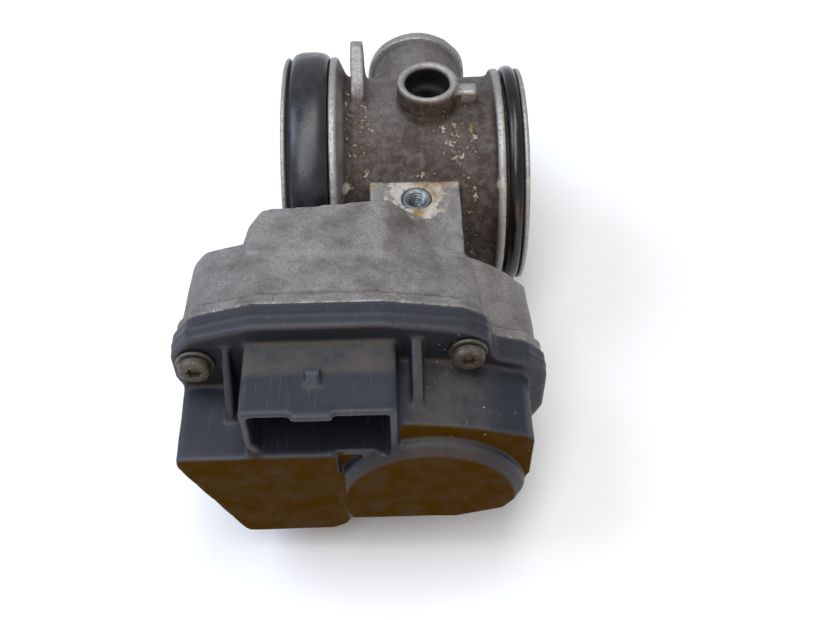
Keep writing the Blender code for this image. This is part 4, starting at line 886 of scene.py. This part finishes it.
@dataclass
class SpigotSeals:
    """The two rubber rings in the grooves of the air tube."""

    inlet_crown: float = 0.46
    outlet_crown: float = 0.5

    def ring(self, name: str, node: str, crown: float, inner_mm: float, power: float) -> bpy.types.Object:
        """Turn one ring that fills its CAD node's box.

        Args:
            name: the piece's name.
            node: the CAD node that it stands for.
            crown: share of the ring's height that the dome takes.
            inner_mm: the ring's inner radius.
            power: how square the dome's shoulders are; 2 is an ellipse.

        Returns:
            The ring.
        """
        low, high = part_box(node)
        centre = (low + high) / 2
        half = (high.x - low.x) / 2 / MM
        outer = (high.z - low.z) / 2 / MM
        rise = (outer - inner_mm) * crown
        dome = []
        for i in range(25):
            a = math.pi * i / 24
            c, s = math.cos(a), math.sin(a)
            dome.append((-half * math.copysign(abs(c) ** (2 / power), c),
                         outer - rise + rise * s ** (2 / power)))
        return spun(name, [(-half + 0.2, inner_mm)] + dome + [(half - 0.2, inner_mm)], Axis.X, centre, 144)

    def build(self) -> list[bpy.types.Object]:
        """Make both rings."""
        return [self.ring("inlet_seal_ring", "inlet_seal", self.inlet_crown, 32.9, 2.7),
                self.ring("outlet_seal_ring", "outlet_seal", self.outlet_crown, 29.6, 2.2)]


@dataclass
class CoverFastener:
    """One cover screw with its six-lobed recess, and the washer under its head."""

    number: int
    head_radius: float = 4.1
    head_height: float = 2.4
    shank_radius: float = 2.4
    thread_pitch: float = 0.8
    recess_radius: float = 1.95
    recess_depth: float = 1.6
    lobe: float = 0.13
    sides: int = 96

    def star(self, angle: float) -> float:
        """Radius of the recess at an angle."""
        return self.recess_radius * (1.0 - self.lobe + self.lobe * math.cos(6 * angle))

    def build_screw(self) -> bpy.types.Object:
        """Make the screw from rings of equal count: shank, head and recess."""
        low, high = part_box(f"cover_screw_{self.number}")
        centre = Vector(((low.x + high.x) / 2, low.y, (low.z + high.z) / 2))
        length = (high.y - low.y) / MM
        head = self.head_height
        outline = [(length, self.shank_radius - 0.6), (length - 0.6, self.shank_radius)]
        turns = int((length - head - 2.0) / self.thread_pitch)
        for i in range(turns):
            start = length - 0.8 - i * self.thread_pitch
            outline += [(start, self.shank_radius), (start - self.thread_pitch / 2, self.shank_radius - 0.4)]
        outline += [(head + 0.05, self.shank_radius), (head, self.shank_radius + 0.15)]
        outline += [(head, self.head_radius - 0.3), (head - 0.12, self.head_radius - 0.08),
                    (head - 0.35, self.head_radius), (0.75, self.head_radius),
                    (0.35, self.head_radius - 0.12),
                    (0.1, self.head_radius - 0.4), (0.0, self.head_radius - 0.8)]
        angles = [math.tau * i / self.sides for i in range(self.sides)]
        bm = bmesh.new()

        def ring(station: float, radii: list[float]) -> list[bmesh.types.BMVert]:
            """One ring of points at a station, with a radius for each angle."""
            return [bm.verts.new(centre + Vector((r * math.cos(a), station, r * math.sin(a))) * MM)
                    for a, r in zip(angles, radii)]

        rings = [ring(s, [r] * self.sides) for s, r in outline]
        star = [self.star(a) for a in angles]
        for station, grow in ((0.0, 0.22), (0.1, 0.08), (0.25, 0.0), (self.recess_depth, 0.0),
                              (self.recess_depth + 0.3, -0.9)):
            rings.append(ring(station, [r + grow for r in star]))
        for one, two in zip(rings, rings[1:]):
            for i in range(self.sides):
                j = (i + 1) % self.sides
                bm.faces.new((one[i], one[j], two[j], two[i]))
        bm.faces.new(rings[0])
        bm.faces.new(rings[-1])
        return object_from(f"cover_screw_{self.number}_socket_head", bm)

    def build_washer(self) -> bpy.types.Object:
        """Make the washer with its rolled-over edges."""
        low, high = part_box(f"cover_washer_{self.number}")
        centre = Vector(((low.x + high.x) / 2, low.y, (low.z + high.z) / 2))
        thick = (high.y - low.y) / MM
        outer = (high.x - low.x) / 2 / MM
        inner = self.shank_radius + 0.35
        corners = [(0.0, inner), (0.0, outer), (thick, outer), (thick, inner)]
        return spun(f"cover_washer_{self.number}_ring", filleted(corners, 0.35), Axis.Y, centre, 72)


@dataclass
class ThreadedInsert:
    """The steel insert in the pad, with its real screw thread."""

    outer: float = 4.0
    crest: float = 2.3
    root: float = 3.05
    pitch: float = 1.0
    sides: int = 56
    per_pitch: int = 10

    def build(self) -> bpy.types.Object:
        """Make the sleeve: a plain outside and an inner wall that follows the thread's helix."""
        low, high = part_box("thread_insert")
        centre = Vector(((low.x + high.x) / 2, (low.y + high.y) / 2, high.z))
        length = (high.z - low.z) / MM
        rows = int(length / self.pitch * self.per_pitch)
        angles = [math.tau * i / self.sides for i in range(self.sides)]
        bm = bmesh.new()

        def ring(depth: float, radii: list[float]) -> list[bmesh.types.BMVert]:
            """One ring of points at a depth below the top."""
            return [bm.verts.new(centre + Vector((r * math.cos(a), r * math.sin(a), -depth)) * MM)
                    for a, r in zip(angles, radii)]

        rings = [ring(length, [self.outer] * self.sides), ring(0.25, [self.outer] * self.sides),
                 ring(0.0, [self.outer - 0.25] * self.sides), ring(0.0, [self.root + 0.35] * self.sides)]
        for row in range(1, rows + 1):
            depth = 0.2 + (length - 0.2) * row / rows
            mouth = max(0.0, 1.0 - depth / 0.7) * 0.3
            radii = []
            for a in angles:
                turn = (depth / self.pitch + a / math.tau) % 1.0
                radii.append(self.crest + (self.root - self.crest) * abs(2 * turn - 1) + mouth)
            rings.append(ring(depth, radii))
        for one, two in zip(rings, rings[1:] + rings[:1]):
            for i in range(self.sides):
                j = (i + 1) % self.sides
                bm.faces.new((one[i], one[j], two[j], two[i]))
        return object_from("pad_thread_insert", bm)


# ---------------------------------------------------------------- studio


@dataclass
class Viewpoint:
    """The camera, placed round the casting's own zero point."""

    layout: Layout
    elevation: float = 52.0
    azimuth: float = -1.5
    roll: float = -0.3
    distance: float = 336.0
    aim_right: float = 2.205
    aim_up: float = -41.79
    lens: float = 46.77
    sensor: float = 36.0

    def build(self) -> bpy.types.Object:
        """Place the camera."""
        el, az, roll = (math.radians(v) for v in (self.elevation, self.azimuth, self.roll))
        back = Vector((math.sin(az) * math.cos(el), -math.cos(az) * math.cos(el), math.sin(el)))
        right = Vector((math.cos(az), math.sin(az), 0.0))
        up = back.cross(right)
        aim = right * self.aim_right + up * self.aim_up
        place = self.layout.origin + (aim + back * self.distance) * MM
        turned_right = right * math.cos(roll) + up * math.sin(roll)
        turned_up = up * math.cos(roll) - right * math.sin(roll)
        data = bpy.data.cameras.new("studio_camera")
        data.lens = self.lens
        data.sensor_width = self.sensor
        data.clip_start = 0.01
        camera = bpy.data.objects.new("studio_camera", data)
        matrix = Matrix((turned_right, turned_up, back)).transposed().to_4x4()
        matrix.translation = place
        camera.matrix_world = matrix
        bpy.context.scene.collection.objects.link(camera)
        bpy.context.scene.camera = camera
        return camera


@dataclass
class Lamp:
    """One soft rectangular studio light, aimed at the part."""

    name: str
    place: tuple[float, float, float]
    size: Pair
    power: float
    colour: str

    def build(self, target: Vector) -> bpy.types.Object:
        """Place the light and turn it to the target."""
        data = bpy.data.lights.new(self.name, "AREA")
        data.shape = "RECTANGLE"
        data.size, data.size_y = self.size
        data.energy = self.power
        data.color = to_linear(self.colour)[:3]
        lamp = bpy.data.objects.new(self.name, data)
        lamp.location = self.place
        lamp.rotation_euler = (target - lamp.location).to_track_quat("-Z", "Y").to_euler()
        bpy.context.scene.collection.objects.link(lamp)
        return lamp


@dataclass
class Studio:
    """The pale floor, the even room light and the soft lamps."""

    floor_half: float = 4.0
    room: str = "#eef1f6"
    room_strength: float = 0.6
    lamps: tuple[Lamp, ...] = (
        Lamp("sky_window", (-0.7, 0.1, 0.85), (0.6, 0.6), 6.0, "#cfe0ff"),
        Lamp("top_softbox", (-0.08, -0.2, 1.2), (0.4, 1.5), 10.0, "#ffffff"),
        Lamp("warm_bounce", (0.05, -0.75, 0.12), (0.8, 0.25), 1.2, "#ffb765"),
    )

    def build(self, target: Vector) -> None:
        """Make the floor, the world and the lamps."""
        bm = bmesh.new()
        corners = [(-1, -1), (1, -1), (1, 1), (-1, 1)]
        bm.faces.new([bm.verts.new((x * self.floor_half, y * self.floor_half, 0.0)) for x, y in corners])
        floor = object_from("paper_floor", bm)
        floor.data.materials.append(PaperSweep().material())
        floor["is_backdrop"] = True
        world = bpy.data.worlds.new("room_light")
        world.use_nodes = True
        shade = world.node_tree.nodes["Background"].inputs
        shade["Color"].default_value = to_linear(self.room)
        shade["Strength"].default_value = self.room_strength
        bpy.context.scene.world = world
        bpy.context.scene.view_settings.view_transform = "Standard"
        for lamp in self.lamps:
            lamp.build(target)


# ---------------------------------------------------------------- assembly


class ThrottleBody:
    """The whole part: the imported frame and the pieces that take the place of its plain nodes."""

    def __init__(self, frame: dict) -> None:
        """Read the casting's zero point from the throttle joint."""
        self.nodes = frame["nodes"]
        self.record = frame["record"]
        turn = next(j for j in frame["joints"] if j["name"] == "throttle_turn")
        self.layout = Layout(Vector(turn["pos_m"]) - Vector((Casting.shaft_x * MM, 0.0, 0.0)))
        self.wardrobe = Wardrobe()
        self.slot_of = {part["node"]: part["material_slot"] for part in self.record["subparts"]}

    def stand_in(self, piece: bpy.types.Object, node: str) -> None:
        """Let a piece stand for one node, with that node's body, slot and finish."""
        body = next(b for b, members in self.record["behaviour"]["bodies"].items() if node in members)
        slot = self.slot_of[node]
        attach(piece, body)
        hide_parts(node)
        self.wardrobe.dress(piece, Slot[slot.upper()])
        LOG.info("%s stands for %s: %d faces", piece.name, node, len(piece.data.polygons))

    def build(self) -> None:
        """Make every new piece and dress the nodes that stay."""
        self.stand_in(Casting(self.layout).build(self.nodes["throttle_housing"]), "throttle_housing")
        self.stand_in(GearCover(self.layout).build(self.nodes["gear_cover"]), "gear_cover")
        for piece, node in zip(SpigotSeals().build(), ("inlet_seal", "outlet_seal")):
            self.stand_in(piece, node)
        for number in range(1, 5):
            fastener = CoverFastener(number)
            self.stand_in(fastener.build_screw(), f"cover_screw_{number}")
            self.stand_in(fastener.build_washer(), f"cover_washer_{number}")
        self.stand_in(ThreadedInsert().build(), "thread_insert")
        for name, node in self.nodes.items():
            if name in self.slot_of:
                self.wardrobe.dress(node, Slot[self.slot_of[name].upper()])


def main() -> None:
    """Load the frame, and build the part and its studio."""
    logging.basicConfig(level=logging.INFO, format="%(message)s")
    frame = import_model()
    low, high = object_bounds()
    body = ThrottleBody(frame)
    body.build()
    Viewpoint(body.layout).build()
    Studio().build((low + high) / 2)
    low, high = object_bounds()


if __name__ == "__main__":
    main()
